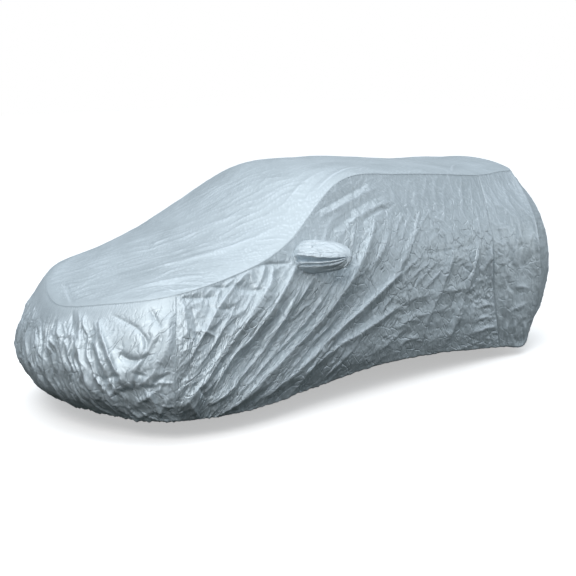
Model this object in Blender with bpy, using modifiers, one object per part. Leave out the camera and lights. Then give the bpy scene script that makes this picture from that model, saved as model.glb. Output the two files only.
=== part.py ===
"""A fitted car cover, hollow, in the shape it takes when it is worn.

Seven sewn pieces: a top panel, two side panels, a front and a rear panel, and two mirror pockets. Every piece is
a sheet with its real thickness, standing outside the surface that the tables below describe. Metres, +X towards
the tail, +Y towards the far side, +Z up. The origin is under the middle of the top panel, where the cover is
carried.
"""

from collections import namedtuple

import bpy
import numpy as np

# Driving sizes.
CLOTH = 0.002  # thickness of the coated cloth
SEAM_GAP = 0.0006  # between the cut edges of two panels at a seam
POCKET_GAP = 0.0005  # between a pocket's mouth and the cloth it is sewn to
SEAM_FADE = 0.07  # the folds die out this far from a seam
CROWN_POWER = 2.4  # how square the top panel's cross-section is
FOLD_POWER = 1.7  # below 2, a fold has a crisp ridge and a wide foot

# One row for each section round the near half, from the middle of the nose to the middle of the tail. Every
# point is (distance along X, half width, height above the floor): the shoulder seam, the belt below it, the
# widest flank, the skirt, and the gathered hem. crown is how far the middle of the top panel stands above its
# own edges.
Section = namedtuple("Section", "name shoulder belt flank skirt hem crown")
SECTIONS = (
    Section("nose_middle", (-2.04, 0.00, 0.79), (-2.14, 0.00, 0.63), (-2.18, 0.00, 0.44),
            (-2.13, 0.00, 0.24), (-2.01, 0.00, 0.15), 0.0),
    Section("nose_quarter", (-1.92, 0.37, 0.84), (-2.05, 0.39, 0.65), (-2.11, 0.41, 0.45),
            (-2.05, 0.43, 0.26), (-1.92, 0.45, 0.14), 0.0),
    Section("front_seam", (-1.63, 0.69, 0.91), (-1.72, 0.80, 0.68), (-1.76, 0.84, 0.46),
            (-1.76, 0.84, 0.27), (-1.69, 0.80, 0.15), 0.0),
    Section("front_side", (-1.24, 0.75, 0.98), (-1.30, 0.85, 0.78), (-1.32, 0.89, 0.46),
            (-1.30, 0.92, 0.26), (-1.26, 0.89, 0.14), 0.07),
    Section("pocket", (-0.76, 0.75, 1.14), (-0.68, 0.88, 0.94), (-0.67, 0.91, 0.56),
            (-0.66, 0.92, 0.30), (-0.66, 0.87, 0.16), 0.07),
    Section("brow", (-0.13, 0.59, 1.48), (-0.10, 0.88, 0.98), (-0.10, 0.92, 0.55),
            (-0.09, 0.92, 0.32), (-0.09, 0.88, 0.20), 0.07),
    Section("middle", (0.49, 0.59, 1.48), (0.49, 0.88, 0.97), (0.50, 0.92, 0.55),
            (0.50, 0.92, 0.33), (0.50, 0.89, 0.18), 0.09),
    Section("rear_seam", (1.36, 0.61, 1.41), (1.19, 0.90, 0.97), (1.19, 0.93, 0.55),
            (1.24, 0.94, 0.28), (1.30, 0.92, 0.10), 0.05),
    Section("rear_side", (1.66, 0.57, 1.41), (1.68, 0.89, 0.98), (1.73, 0.92, 0.58),
            (1.70, 0.93, 0.29), (1.61, 0.93, 0.07), 0.03),
    Section("rear_corner", (1.91, 0.49, 1.41), (2.06, 0.70, 1.03), (2.14, 0.73, 0.62),
            (2.08, 0.71, 0.37), (1.94, 0.64, 0.20), 0.0),
    Section("tail_quarter", (1.97, 0.27, 1.45), (2.17, 0.39, 1.03), (2.24, 0.40, 0.62),
            (2.17, 0.39, 0.37), (2.04, 0.37, 0.22), 0.0),
    Section("tail_middle", (1.98, 0.00, 1.47), (2.18, 0.00, 1.04), (2.26, 0.00, 0.63),
            (2.18, 0.00, 0.38), (2.05, 0.00, 0.22), 0.0),
)
NAMES = [row.name for row in SECTIONS]
HALF = len(SECTIONS) - 1
LOOP = 2 * HALF
FRONT_SEAM = NAMES.index("front_seam")
POCKET = NAMES.index("pocket")
MIDDLE = NAMES.index("middle")
REAR_SEAM = NAMES.index("rear_seam")
REAR_CORNER = NAMES.index("rear_corner")

# Columns of cloth between one section and the next, going back from the front seam: on the top panel's edge,
# and how many columns of each upright panel share one of those.
Span = namedtuple("Span", "top near far")
SPANS = (
    Span(6, 2, 1),
    Span(6, 3, 1),
    Span(6, 3, 2),
    Span(5, 2, 1),
    Span(6, 2, 1),
    Span(4, 2, 1),
    Span(3, 2, 1),
)
ACROSS = 14  # columns across the top panel
NOSE_SHARE = 2  # columns of the front panel for one of the top panel's
ROWS = 14  # rows of every upright panel, from the shoulder seam to the hem, so that neighbours meet
ROW_POWER = 1.15  # above 1, the rows are closer together near the shoulder seam

# Where a near side column that leaves the shoulder seam at one section reaches the hem: they lean forward like
# the folds do. Numbers are section numbers.
Lean = namedtuple("Lean", "seam hem")
LEANS = (Lean(2, 2), Lean(3, 2.25), Lean(4, 2.6), Lean(5, 3.3), Lean(6, 5.0), Lean(7, 7))
LEAN_START = 0.22  # the columns drop straight from the seam for this share of the way

# Folds: ridges (or, with a negative height, troughs) that run from start past middle to end. Side panels give
# their points as (X, height), the top panel as (X, Y), the front and rear panels as (Y, height).
Fold = namedtuple("Fold", "start middle end width height")
NEAR_FOLDS = (
    Fold((-1.17, 0.97), (-1.40, 0.76), (-1.64, 0.57), 0.050, 0.026),
    Fold((-0.94, 0.96), (-1.30, 0.62), (-1.70, 0.28), 0.055, 0.035),
    Fold((-0.75, 1.00), (-1.12, 0.68), (-1.48, 0.31), 0.050, 0.038),
    Fold((-0.79, 0.86), (-1.16, 0.48), (-1.50, 0.16), 0.045, 0.032),
    Fold((-0.52, 0.84), (-0.90, 0.56), (-1.38, 0.25), 0.045, 0.026),
    Fold((0.02, 1.21), (-0.55, 0.69), (-1.49, 0.15), 0.060, 0.052),
    Fold((0.11, 0.86), (-0.42, 0.55), (-1.14, 0.22), 0.055, 0.041),
    Fold((0.03, 0.47), (-0.30, 0.37), (-0.60, 0.28), 0.050, 0.029),
    Fold((0.32, 1.05), (0.18, 0.84), (-0.12, 0.62), 0.055, 0.023),
    Fold((1.04, 1.02), (0.97, 0.80), (1.00, 0.50), 0.050, 0.032),
    Fold((0.76, 0.98), (0.68, 0.70), (0.56, 0.24), 0.050, 0.032),
    Fold((0.30, 0.72), (0.20, 0.46), (0.06, 0.24), 0.055, 0.023),
    Fold((-0.30, 1.26), (-0.20, 1.16), (0.02, 1.04), 0.040, -0.020),
    Fold((0.60, 1.30), (0.62, 1.14), (0.58, 1.00), 0.050, 0.017),
    Fold((-0.10, 0.30), (0.40, 0.27), (1.05, 0.22), 0.050, -0.020),
)
FAR_FOLDS = (
    Fold((-1.10, 0.90), (-1.30, 0.60), (-1.52, 0.28), 0.090, 0.020),
    Fold((-0.62, 0.86), (-0.95, 0.56), (-1.30, 0.24), 0.090, 0.024),
    Fold((0.00, 1.10), (-0.36, 0.74), (-0.85, 0.28), 0.100, 0.026),
    Fold((0.42, 0.96), (0.30, 0.62), (0.10, 0.26), 0.090, 0.018),
    Fold((0.90, 1.00), (0.86, 0.64), (0.80, 0.26), 0.090, 0.020),
)
TOP_FOLDS = (
    Fold((-0.52, -0.42), (-1.05, -0.46), (-1.50, -0.52), 0.070, 0.008),
    Fold((-0.48, -0.20), (-1.00, -0.22), (-1.55, -0.20), 0.080, 0.008),
    Fold((-0.46, 0.08), (-1.00, 0.06), (-1.50, 0.12), 0.080, 0.007),
    Fold((0.02, -0.30), (-0.30, -0.36), (-0.60, -0.46), 0.070, 0.007),
    Fold((-1.87, 0.20), (-1.93, 0.05), (-1.98, -0.12), 0.070, -0.012),
    Fold((1.66, -0.30), (1.74, -0.12), (1.78, 0.10), 0.080, 0.008),
)
FRONT_FOLDS = (
    Fold((0.50, 0.70), (0.52, 0.45), (0.50, 0.20), 0.075, 0.022),
    Fold((0.28, 0.72), (0.30, 0.45), (0.30, 0.20), 0.070, 0.024),
    Fold((0.08, 0.72), (0.10, 0.45), (0.08, 0.20), 0.070, 0.022),
    Fold((-0.12, 0.72), (-0.13, 0.45), (-0.10, 0.20), 0.065, 0.026),
    Fold((-0.30, 0.72), (-0.34, 0.45), (-0.30, 0.20), 0.060, 0.022),
    Fold((-0.50, 0.76), (-0.60, 0.50), (-0.66, 0.22), 0.060, 0.022),
    Fold((-0.42, 0.80), (-0.56, 0.64), (-0.68, 0.40), 0.045, -0.020),
)
REAR_FOLDS = (
    Fold((0.45, 1.20), (0.50, 0.80), (0.48, 0.25), 0.090, 0.020),
    Fold((0.12, 1.20), (0.10, 0.80), (0.14, 0.25), 0.090, 0.018),
    Fold((-0.20, 1.20), (-0.24, 0.80), (-0.20, 0.25), 0.090, 0.020),
    Fold((-0.54, 1.28), (-0.72, 1.00), (-0.80, 0.70), 0.060, 0.022),
)

# Mirror pockets. The mouth is a ring of the side panel's own cloth, cols columns wide and rows rows deep,
# starting back columns from the pocket section and down rows from the seam. The tip is how far the pocket
# stands out.
Pocket = namedtuple("Pocket", "back cols down rows tip")
NEAR_POCKET = Pocket(back=-2, cols=7, down=1, rows=3, tip=(0.13, 0.25, 0.02))
FAR_POCKET = Pocket(back=0, cols=4, down=2, rows=3, tip=(0.12, 0.22, -0.03))
POCKET_RINGS = 5
POCKET_BULGE = (0.10, 0.0, 0.20)  # how far a pocket swells past its mouth, as a share of the mouth's own size

COAT = {"color": (0.60, 0.64, 0.67, 1.0), "roughness": 0.42, "metallic": 0.55}
COLLECTION = "car_cover"


def clear_scene():
    """Start from an empty scene."""
    for item in list(bpy.data.objects):
        bpy.data.objects.remove(item, do_unlink=True)


def slopes(knots, values):
    """Slope at every knot of a smooth curve through the values, leaning on the nearer neighbour."""
    step = np.diff(knots, axis=-1)[..., None]
    rise = np.diff(values, axis=-2) / step
    share = step[..., 1:, :] / (step[..., :-1, :] + step[..., 1:, :])
    inner = rise[..., :-1, :] * share + rise[..., 1:, :] * (1 - share)
    return np.concatenate([rise[..., :1, :], inner, rise[..., -1:, :]], axis=-2)


def blend(low, high, low_slope, high_slope, step, part):
    """A cubic between two points with the given slopes, at part (0 to 1) of the way."""
    square = part * part
    cube = square * part
    return (
        (2 * cube - 3 * square + 1) * low
        + (cube - 2 * square + part) * step * low_slope
        + (3 * square - 2 * cube) * high
        + (cube - square) * step * high_slope
    )


def smooth_curve(knots, values, at):
    """Points of the smooth curve through values (one row for each knot) at the given places."""
    slope = slopes(knots, values)
    index = np.clip(np.searchsorted(knots, at, side="right") - 1, 0, len(knots) - 2)
    step = (knots[index + 1] - knots[index])[:, None]
    part = (at - knots[index])[:, None] / step
    return blend(values[index], values[index + 1], slope[index], slope[index + 1], step, part)


def ring_points():
    """Every section's five points, once round the loop: the near half, then the far half back to the nose."""
    half = np.array([[row.shoulder, row.belt, row.flank, row.skirt, row.hem] for row in SECTIONS])
    near = half * (1, -1, 1)
    return np.concatenate([near, half[-2:0:-1]])


def loop_knots(rings):
    """Distance round the belt at every section of the loop, and the whole way round."""
    belt = rings[:, 1]
    step = np.linalg.norm(np.roll(belt, -1, axis=0) - belt, axis=1)
    return np.concatenate([[0.0], np.cumsum(step)[:-1]]), step.sum()


RINGS = ring_points()
KNOTS, GIRTH = loop_knots(RINGS)


def sections_at(number):
    """The five points of the section with the given (fractional) section number."""
    number = np.mod(np.asarray(number, float), LOOP)
    around = np.interp(number, np.arange(LOOP + 1), np.append(KNOTS, GIRTH))
    knots = np.concatenate([[KNOTS[-1] - GIRTH], KNOTS, [GIRTH, GIRTH + KNOTS[1]]])
    values = np.concatenate([RINGS[-1:], RINGS, RINGS[:2]]).reshape(LOOP + 3, -1)
    return smooth_curve(knots, values, around).reshape(-1, 5, 3)


def wall(numbers, drops):
    """Points of the upright cloth: section numbers and drops (0 at the seam, 1 at the hem), two equal grids."""
    points = sections_at(numbers.ravel())
    length = np.linalg.norm(np.diff(points, axis=1), axis=2)
    knots = np.concatenate([np.zeros((len(points), 1)), np.cumsum(length, axis=1)], axis=1)
    knots /= knots[:, -1:]
    drop = drops.ravel()
    slope = slopes(knots, points)
    index = np.clip((knots <= drop[:, None]).sum(axis=1) - 1, 0, 3)
    row = np.arange(len(points))
    step = (knots[row, index + 1] - knots[row, index])[:, None]
    part = (drop - knots[row, index])[:, None] / step
    low, high = points[row, index], points[row, index + 1]
    points = blend(low, high, slope[row, index], slope[row, index + 1], step, part)
    return points.reshape(*numbers.shape, 3)


def edge_numbers(share):
    """Section numbers of the columns from the front seam to the rear corner; share names a column of SPANS."""
    numbers = [float(FRONT_SEAM)]
    for place, span in enumerate(SPANS):
        count = span.top * (1 if share == "top" else getattr(span, share))
        numbers += [FRONT_SEAM + place + (k + 1) / count for k in range(count)]
    return np.array(numbers)


def across_numbers(first, last, count):
    """Section numbers of count columns round the nose or the tail, evenly spread along the loop."""
    return np.linspace(first, last, count + 1)


def seam_points(numbers):
    """The shoulder seam as straight stitches between the top panel's own columns, at any section numbers."""
    near = edge_numbers("top")
    tail = across_numbers(REAR_CORNER, LOOP - REAR_CORNER, ACROSS)
    far = LOOP - near[::-1]
    nose = across_numbers(LOOP - FRONT_SEAM, LOOP + FRONT_SEAM, ACROSS)
    stops = np.concatenate([near, tail[1:], far[1:], nose[1:]])
    places = sections_at(stops)[:, 0]
    wanted = np.where(numbers < FRONT_SEAM, numbers + LOOP, numbers)
    return np.stack([np.interp(wanted, stops, places[:, k]) for k in range(3)], axis=-1)


def grid_normals(grid):
    """Unit normals of a grid of points, pointing out of the cover."""
    along = np.gradient(grid, axis=1)
    down = np.gradient(grid, axis=0)
    normal = np.cross(down, along)
    return normal / np.linalg.norm(normal, axis=2, keepdims=True)


def fold_height(fold, place):
    """Height of one fold at every point of an array of flat places."""
    part = np.linspace(0.0, 1.0, 25)[:, None]
    start, middle, end = (np.array(point) for point in (fold.start, fold.middle, fold.end))
    pull = 2 * middle - (start + end) / 2
    path = (1 - part) ** 2 * start + 2 * part * (1 - part) * pull + part**2 * end
    gap = np.linalg.norm(place[..., None, :] - path, axis=-1)
    nearest = gap.argmin(axis=-1)
    distance = gap.min(axis=-1)
    taper = np.sin(np.pi * np.clip(part[nearest, 0], 0.06, 0.94)) ** 0.6
    return fold.height * taper * np.exp(-((distance / fold.width) ** FOLD_POWER))


def folded(grid, folds, plane, fade):
    """The grid with its folds raised along its normals; plane names the two axes that the folds are drawn on."""
    height = sum(fold_height(fold, grid[..., plane]) for fold in folds)
    return grid + grid_normals(grid) * (height * fade)[..., None]


def fade_from(distance):
    """0 at a seam, 1 past SEAM_FADE, without a corner."""
    part = np.clip(distance / SEAM_FADE, 0.0, 1.0)
    return part * part * (3 - 2 * part)


def run_length(grid, axis):
    """Distance of every grid point from the grid's first row or column, along the cloth."""
    step = np.linalg.norm(np.diff(grid, axis=axis), axis=2)
    start = np.zeros_like(np.take(step, [0], axis=axis))
    return np.concatenate([start, np.cumsum(step, axis=axis)], axis=axis)


def trim(grid, edges):
    """Move the named edges of a grid back by half the seam gap."""
    grid = grid.copy()
    views = {
        "top": grid,
        "bottom": grid[::-1],
        "left": grid.swapaxes(0, 1),
        "right": grid[:, ::-1].swapaxes(0, 1),
    }
    for edge in edges:
        rows = views[edge]
        way = rows[1] - rows[0]
        rows[0] += way / np.linalg.norm(way, axis=1, keepdims=True) * SEAM_GAP / 2
    return grid


def upright_grid(numbers, leans, folds, plane):
    """The finished grid of one upright panel: its cloth, its folds, and its three sewn edges."""
    drops = np.linspace(0.0, 1.0, ROWS + 1)[:, None] ** ROW_POWER * np.ones(len(numbers))
    hem = np.interp(numbers, [row.seam for row in leans], [row.hem for row in leans]) if leans else numbers
    lean = np.clip((drops - LEAN_START) / (1 - LEAN_START), 0.0, 1.0)
    grid = wall(numbers + (hem - numbers) * lean, drops)
    grid[0] = seam_points(numbers)
    side = np.minimum(run_length(grid, 1), run_length(grid[:, ::-1], 1)[:, ::-1])
    fade = fade_from(side) * fade_from(run_length(grid, 0))
    return trim(folded(grid, folds, plane, fade), ("top", "left", "right"))


def top_grid():
    """The top panel: stretched between its four edges, with its crown and its folds."""
    near = seam_points(edge_numbers("top"))
    far = seam_points(LOOP - edge_numbers("top"))
    nose = seam_points(np.mod(across_numbers(FRONT_SEAM, -FRONT_SEAM, ACROSS), LOOP))
    tail = seam_points(across_numbers(REAR_CORNER, LOOP - REAR_CORNER, ACROSS))
    back = np.linspace(0.0, 1.0, len(near))[:, None, None]
    over = np.linspace(0.0, 1.0, ACROSS + 1)[None, :, None]
    sides = (1 - over) * near[:, None] + over * far[:, None]
    ends = (1 - back) * nose[None] + back * tail[None]
    first = (1 - over) * near[0] + over * far[0]
    last = (1 - over) * near[-1] + over * far[-1]
    corners = (1 - back) * first + back * last
    grid = sides + ends - corners
    crowns = np.array([[row.crown] for row in SECTIONS])
    crown = smooth_curve(KNOTS[: HALF + 1], crowns, np.interp(edge_numbers("top"), range(LOOP), KNOTS))
    grid[..., 2] += crown * (1 - np.abs(2 * over[..., 0] - 1) ** CROWN_POWER)
    edge = np.minimum(run_length(grid, 1), run_length(grid[:, ::-1], 1)[:, ::-1])
    end = np.minimum(run_length(grid, 0), run_length(grid[::-1], 0)[::-1])
    fade = fade_from(edge) * fade_from(end)
    return trim(folded(grid, TOP_FOLDS, [0, 1], fade), ("top", "bottom", "left", "right"))


def make_material(name):
    """The coated cloth's own plain material."""
    material = bpy.data.materials.new(name)
    material.use_nodes = True
    shader = material.node_tree.nodes["Principled BSDF"]
    shader.inputs["Base Color"].default_value = COAT["color"]
    shader.inputs["Roughness"].default_value = COAT["roughness"]
    shader.inputs["Metallic"].default_value = COAT["metallic"]
    material.diffuse_color = COAT["color"]
    return material


def make_sheet(name, points, faces, collection, rest):
    """A panel: an open surface that Solidify thickens outwards."""
    mesh = bpy.data.meshes.new(name)
    mesh.from_pydata([tuple(point) for point in points], [], faces)
    mesh.validate()
    mesh.shade_smooth()
    sheet = bpy.data.objects.new(name, mesh)
    sheet.location = [-value for value in rest]
    collection.objects.link(sheet)
    mesh.materials.append(make_material(name))
    cloth = sheet.modifiers.new("cloth", "SOLIDIFY")
    cloth.thickness = CLOTH
    cloth.offset = 1.0
    cloth.use_even_offset = True
    return sheet


def grid_faces(rows, cols, hole=None):
    """Faces of a grid of points, leaving out a block of cells (first row, last row, first and last column)."""
    faces = []
    for row in range(rows - 1):
        for col in range(cols - 1):
            if hole and hole[0] <= row < hole[1] and hole[2] <= col < hole[3]:
                continue
            corner = row * cols + col
            faces.append((corner, corner + cols, corner + cols + 1, corner + 1))
    return faces


def used_points(points, faces):
    """The points that the faces touch, and the faces renumbered to them."""
    used = sorted({index for face in faces for index in face})
    number = {index: place for place, index in enumerate(used)}
    return points[used], [tuple(number[index] for index in face) for face in faces]


def grid_point(grid, row, col):
    """The point of a grid at a fractional row and column."""
    top, left = int(row), int(col)
    down, over = row - top, col - left
    upper = grid[top, left] * (1 - over) + grid[top, left + 1] * over
    lower = grid[top + 1, left] * (1 - over) + grid[top + 1, left + 1] * over
    return upper * (1 - down) + lower * down


def round_mouth(grid, hole):
    """Move the points round the block of cells onto an oval, so the pocket's mouth is round."""
    top, bottom, left, right = hole
    middle = np.array([(top + bottom) / 2, (left + right) / 2])
    half = np.array([(bottom - top) / 2, (right - left) / 2])
    moved = grid.copy()
    for place in mouth_ring(hole, grid.shape[1]):
        spot = np.array(divmod(place, grid.shape[1]))
        way = (spot - middle) / half
        way /= np.linalg.norm(way)
        moved[tuple(spot)] = grid_point(grid, *(middle + way * half))
    return moved


def mouth_ring(hole, cols):
    """Indices of the grid points round the block, in order."""
    top, bottom, left, right = hole
    ring = [(top, col) for col in range(left, right)]
    ring += [(row, right) for row in range(top, bottom)]
    ring += [(bottom, col) for col in range(right, left, -1)]
    ring += [(row, left) for row in range(bottom, top, -1)]
    return [row * cols + col for row, col in ring]


def pocket_shell(ring, normals, tip, side):
    """Points and faces of a pocket: rings that close from the mouth to the tip in a quarter turn."""
    base = ring + normals * (CLOTH + POCKET_GAP)
    centre = base.mean(axis=0)
    reach = np.array(tip) * (1, side, 1)
    out = normals.mean(axis=0)
    out *= (out @ reach) / (out @ out)
    count = len(ring)
    points = []
    for step in range(POCKET_RINGS):
        turn = step / POCKET_RINGS * np.pi / 2
        swell = 1 + np.array(POCKET_BULGE) * np.sin(2 * turn) ** 2
        shift = out * np.sin(turn) + (reach - out) * (1 - np.cos(turn))
        points += list(centre + shift + (base - centre) * np.cos(turn) ** 0.8 * swell)
    points.append(centre + reach)
    faces = []
    for step in range(POCKET_RINGS - 1):
        for k in range(count):
            low, high = step * count, (step + 1) * count
            faces.append((low + k, low + (k + 1) % count, high + (k + 1) % count, high + k))
    last = (POCKET_RINGS - 1) * count
    faces += [(last + k, last + (k + 1) % count, POCKET_RINGS * count) for k in range(count)]
    return np.array(points), faces


def side_panel(side, collection, rest):
    """One side panel with its mirror pocket. side is -1 for the near side and 1 for the far side."""
    near = side < 0
    share, pocket = ("near", NEAR_POCKET) if near else ("far", FAR_POCKET)
    numbers = edge_numbers(share)
    numbers = numbers[numbers <= REAR_SEAM + 1e-9]
    first = int(np.argmin(abs(numbers - POCKET))) + pocket.back
    hole = (pocket.down, pocket.down + pocket.rows, first, first + pocket.cols)
    if near:
        grid = upright_grid(numbers, LEANS, NEAR_FOLDS, [0, 2])
    else:
        grid = upright_grid(LOOP - numbers[::-1], (), FAR_FOLDS, [0, 2])
        last = len(numbers) - 1
        hole = (hole[0], hole[1], last - hole[3], last - hole[2])
    grid = round_mouth(grid, hole)
    normals = grid_normals(grid).reshape(-1, 3)
    flat = grid.reshape(-1, 3)
    ring = mouth_ring(hole, len(numbers))
    word = "left" if near else "right"
    points, faces = used_points(flat, grid_faces(ROWS + 1, len(numbers), hole))
    make_sheet("side_panel_" + word, points, faces, collection, rest)
    points, faces = pocket_shell(flat[ring], normals[ring], pocket.tip, side)
    make_sheet("mirror_pocket_" + word, points, [face[::-1] for face in faces], collection, rest)


def end_panel(name, numbers, folds, collection, rest):
    """The front or the rear panel."""
    grid = upright_grid(numbers, (), folds, [1, 2])
    make_sheet(name, grid.reshape(-1, 3), grid_faces(ROWS + 1, len(numbers)), collection, rest)


def main():
    """Build every piece of the cover."""
    clear_scene()
    collection = bpy.data.collections.new(COLLECTION)
    bpy.context.scene.collection.children.link(collection)
    top = top_grid()
    place = int(np.argmin(abs(edge_numbers("top") - MIDDLE)))
    rest = top[place, ACROSS // 2]
    make_sheet("top_panel", top.reshape(-1, 3), grid_faces(*top.shape[:2]), collection, rest)
    for side in (-1, 1):
        side_panel(side, collection, rest)
    nose = across_numbers(LOOP - FRONT_SEAM, LOOP + FRONT_SEAM, ACROSS * NOSE_SHARE)
    end_panel("front_panel", nose, FRONT_FOLDS, collection, rest)
    near = edge_numbers("near")
    far = LOOP - edge_numbers("far")[::-1]
    tail = across_numbers(REAR_CORNER, LOOP - REAR_CORNER, ACROSS)
    near_part = near[near > REAR_SEAM - 1e-9]
    far_part = far[far < LOOP - REAR_SEAM + 1e-9]
    around = np.concatenate([near_part, tail[1:], far_part[1:]])
    end_panel("rear_panel", around, REAR_FOLDS, collection, rest)


main()
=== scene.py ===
"""Looks of a fitted car cover in silver-coated cloth, worn, with the folds that its elastic hem pulls into it.

Seven sewn pieces, each a thin sheet on its own solid: a top panel, two side panels, a front and a rear panel, and
two mirror pockets. Welts and stitches close the seams. Sizes are in metres, but for the tables of creases. The
tables give places over the floor, with X = 0 midway along the cover; ORIGIN is the frame's own origin there.
"""

import logging
import math
import time
from dataclasses import dataclass, field
from enum import Enum
from typing import NamedTuple

import bpy
import numpy as np
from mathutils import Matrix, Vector


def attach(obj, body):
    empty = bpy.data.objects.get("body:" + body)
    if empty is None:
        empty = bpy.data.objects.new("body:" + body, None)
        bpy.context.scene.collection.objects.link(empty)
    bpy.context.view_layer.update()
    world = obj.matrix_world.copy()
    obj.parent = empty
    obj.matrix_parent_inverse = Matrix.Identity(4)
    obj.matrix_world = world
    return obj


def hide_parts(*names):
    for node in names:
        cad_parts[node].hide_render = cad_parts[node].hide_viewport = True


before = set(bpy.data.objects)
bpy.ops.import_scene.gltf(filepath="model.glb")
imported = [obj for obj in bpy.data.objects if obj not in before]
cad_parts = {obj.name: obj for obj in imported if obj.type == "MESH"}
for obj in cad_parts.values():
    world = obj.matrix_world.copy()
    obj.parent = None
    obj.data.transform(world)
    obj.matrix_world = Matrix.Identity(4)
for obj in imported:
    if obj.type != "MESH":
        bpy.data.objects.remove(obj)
log = logging.getLogger("cover")

Array = np.ndarray
Spot = tuple[float, float]
Place = tuple[float, float, float]
Piece = bpy.types.Object
Material = bpy.types.Material
Tree = bpy.types.NodeTree
Node = bpy.types.Node
Socket = bpy.types.NodeSocket

ORIGIN = np.array((0.3867, 0.0, 1.5650))
SOLID_CLOTH = 0.002
BODY = "root"
FACING_EASE = 0.45


def smooth_step(value: Array) -> Array:
    """Ease a value from 0 to 1 without corners; it is clipped to that range first."""
    part = np.clip(value, 0.0, 1.0)
    return part * part * (3 - 2 * part)


def slopes(knots: Array, values: Array) -> Array:
    """Find the slope at every knot of a smooth curve, leaning on the nearer neighbour.

    Args:
        knots: places along the curve.
        values: the curve's points at those places, one row each.

    Returns:
        One slope for each row of values.
    """
    step = np.diff(knots, axis=-1)[..., None]
    rise = np.diff(values, axis=-2) / step
    share = step[..., 1:, :] / (step[..., :-1, :] + step[..., 1:, :])
    inner = rise[..., :-1, :] * share + rise[..., 1:, :] * (1 - share)
    return np.concatenate([rise[..., :1, :], inner, rise[..., -1:, :]], axis=-2)


def cubic(low: Array, high: Array, low_slope: Array, high_slope: Array, step: Array, part: Array) -> Array:
    """Run a cubic between two points.

    Args:
        low: the first point.
        high: the last point.
        low_slope: slope at the first point.
        high_slope: slope at the last point.
        step: length of the stretch.
        part: how far along it, from 0 to 1.

    Returns:
        The points at part.
    """
    square = part * part
    cube = square * part
    start = (2 * cube - 3 * square + 1) * low + (cube - 2 * square + part) * step * low_slope
    return start + (3 * square - 2 * cube) * high + (cube - square) * step * high_slope


def smooth_curve(knots: Array, values: Array, at: Array) -> Array:
    """Read points off the smooth curve through the values.

    Args:
        knots: places along the curve.
        values: the curve's points at those places, one row each.
        at: the places to read.

    Returns:
        One row for each place.
    """
    slope = slopes(knots, values)
    index = np.clip(np.searchsorted(knots, at, side="right") - 1, 0, len(knots) - 2)
    step = (knots[index + 1] - knots[index])[:, None]
    part = (at - knots[index])[:, None] / step
    return cubic(values[index], values[index + 1], slope[index], slope[index + 1], step, part)


def rounded(away: Array, reach: float) -> Array:
    """Rise from 0 at an edge to 1 at reach from it, then sink back to 0; it rounds an edge off."""
    return away / reach * np.exp(1 - away / reach)


def unit(vectors: Array) -> Array:
    """Scale vectors to length 1 along the last axis."""
    return vectors / np.maximum(np.linalg.norm(vectors, axis=-1, keepdims=True), 1e-12)


def grid_normals(grid: Array) -> Array:
    """Find the outward unit normals of a grid of points."""
    return unit(np.cross(np.gradient(grid, axis=0), np.gradient(grid, axis=1)))


def run_length(grid: Array, axis: int) -> Array:
    """Measure how far every grid point lies from the first row or column, along the cloth.

    Args:
        grid: rows by columns of points.
        axis: 0 to measure down the rows, 1 to measure along the columns.

    Returns:
        Distances in metres, one for each grid point.
    """
    step = np.linalg.norm(np.diff(grid, axis=axis), axis=2)
    start = np.zeros_like(np.take(step, [0], axis=axis))
    return np.concatenate([start, np.cumsum(step, axis=axis)], axis=axis)


class Noise:
    """Smooth noise on a plane, the same in every run."""

    SIZE = 256

    def __init__(self, seed: int) -> None:
        """Lay out the lattice of slopes for a seed."""
        angle = np.random.default_rng(seed).uniform(0, 2 * np.pi, (self.SIZE, self.SIZE))
        self.lattice = np.stack([np.cos(angle), np.sin(angle)], axis=-1)

    def at(self, place: Array) -> Array:
        """Read the noise.

        Args:
            place: points on the plane, in lattice cells.

        Returns:
            Values from about -1 to 1.
        """
        cell = np.floor(place).astype(int)
        part = place - cell
        ease = part**3 * (part * (part * 6 - 15) + 10)
        total = np.zeros(place.shape[:-1])
        for corner in ((0, 0), (0, 1), (1, 0), (1, 1)):
            slope = self.lattice[(cell[..., 0] + corner[0]) % self.SIZE, (cell[..., 1] + corner[1]) % self.SIZE]
            share = np.prod(np.where(np.array(corner) == 1, ease, 1 - ease), axis=-1)
            total += ((part - corner) * slope).sum(axis=-1) * share
        return total * 1.5

    def crests(self, place: Array, octaves: int = 2) -> Array:
        """Read noise with sharp crests and wide troughs.

        Args:
            place: points on the plane, in lattice cells.
            octaves: how many finer copies are added.

        Returns:
            Values from 0 to about 1.
        """
        total = np.zeros(place.shape[:-1])
        scale, weight = 1.0, 1.0
        for octave in range(octaves):
            total += weight * (1 - np.minimum(np.abs(self.at(place * scale + 31.7 * octave)) * 1.8, 1)) ** 2
            scale, weight = scale * 2.13, weight * 0.45
        return total / 1.3


class Facing(Enum):
    """Which way a stretch of the cover faces, and the two axes that its folds are drawn on."""

    NEAR = ((0, 2), (0, -1, 0))
    FAR = ((0, 2), (0, 1, 0))
    NOSE = ((1, 2), (-1, 0, 0))
    TAIL = ((1, 2), (1, 0, 0))
    TOP = ((0, 1), (0, 0, 1))

    @property
    def axes(self) -> list[int]:
        """Axes of the plane that the folds are drawn on."""
        return list(self.value[0])

    def share(self, normals: Array) -> Array:
        """How far the cloth faces this way, from 0 to 1."""
        return smooth_step(normals @ np.array(self.value[1], float) / FACING_EASE)


class Crease(NamedTuple):
    """A listed fold: it runs from start past middle to end, drawn on its facing's plane.

    Width is the half width of its foot. Height is negative for a trough. Roll is how far the crest hangs over to
    the right of its run, as a share of its height.
    """

    start: Spot
    middle: Spot
    end: Spot
    width: float
    height: float
    roll: float = 0.0


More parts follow.
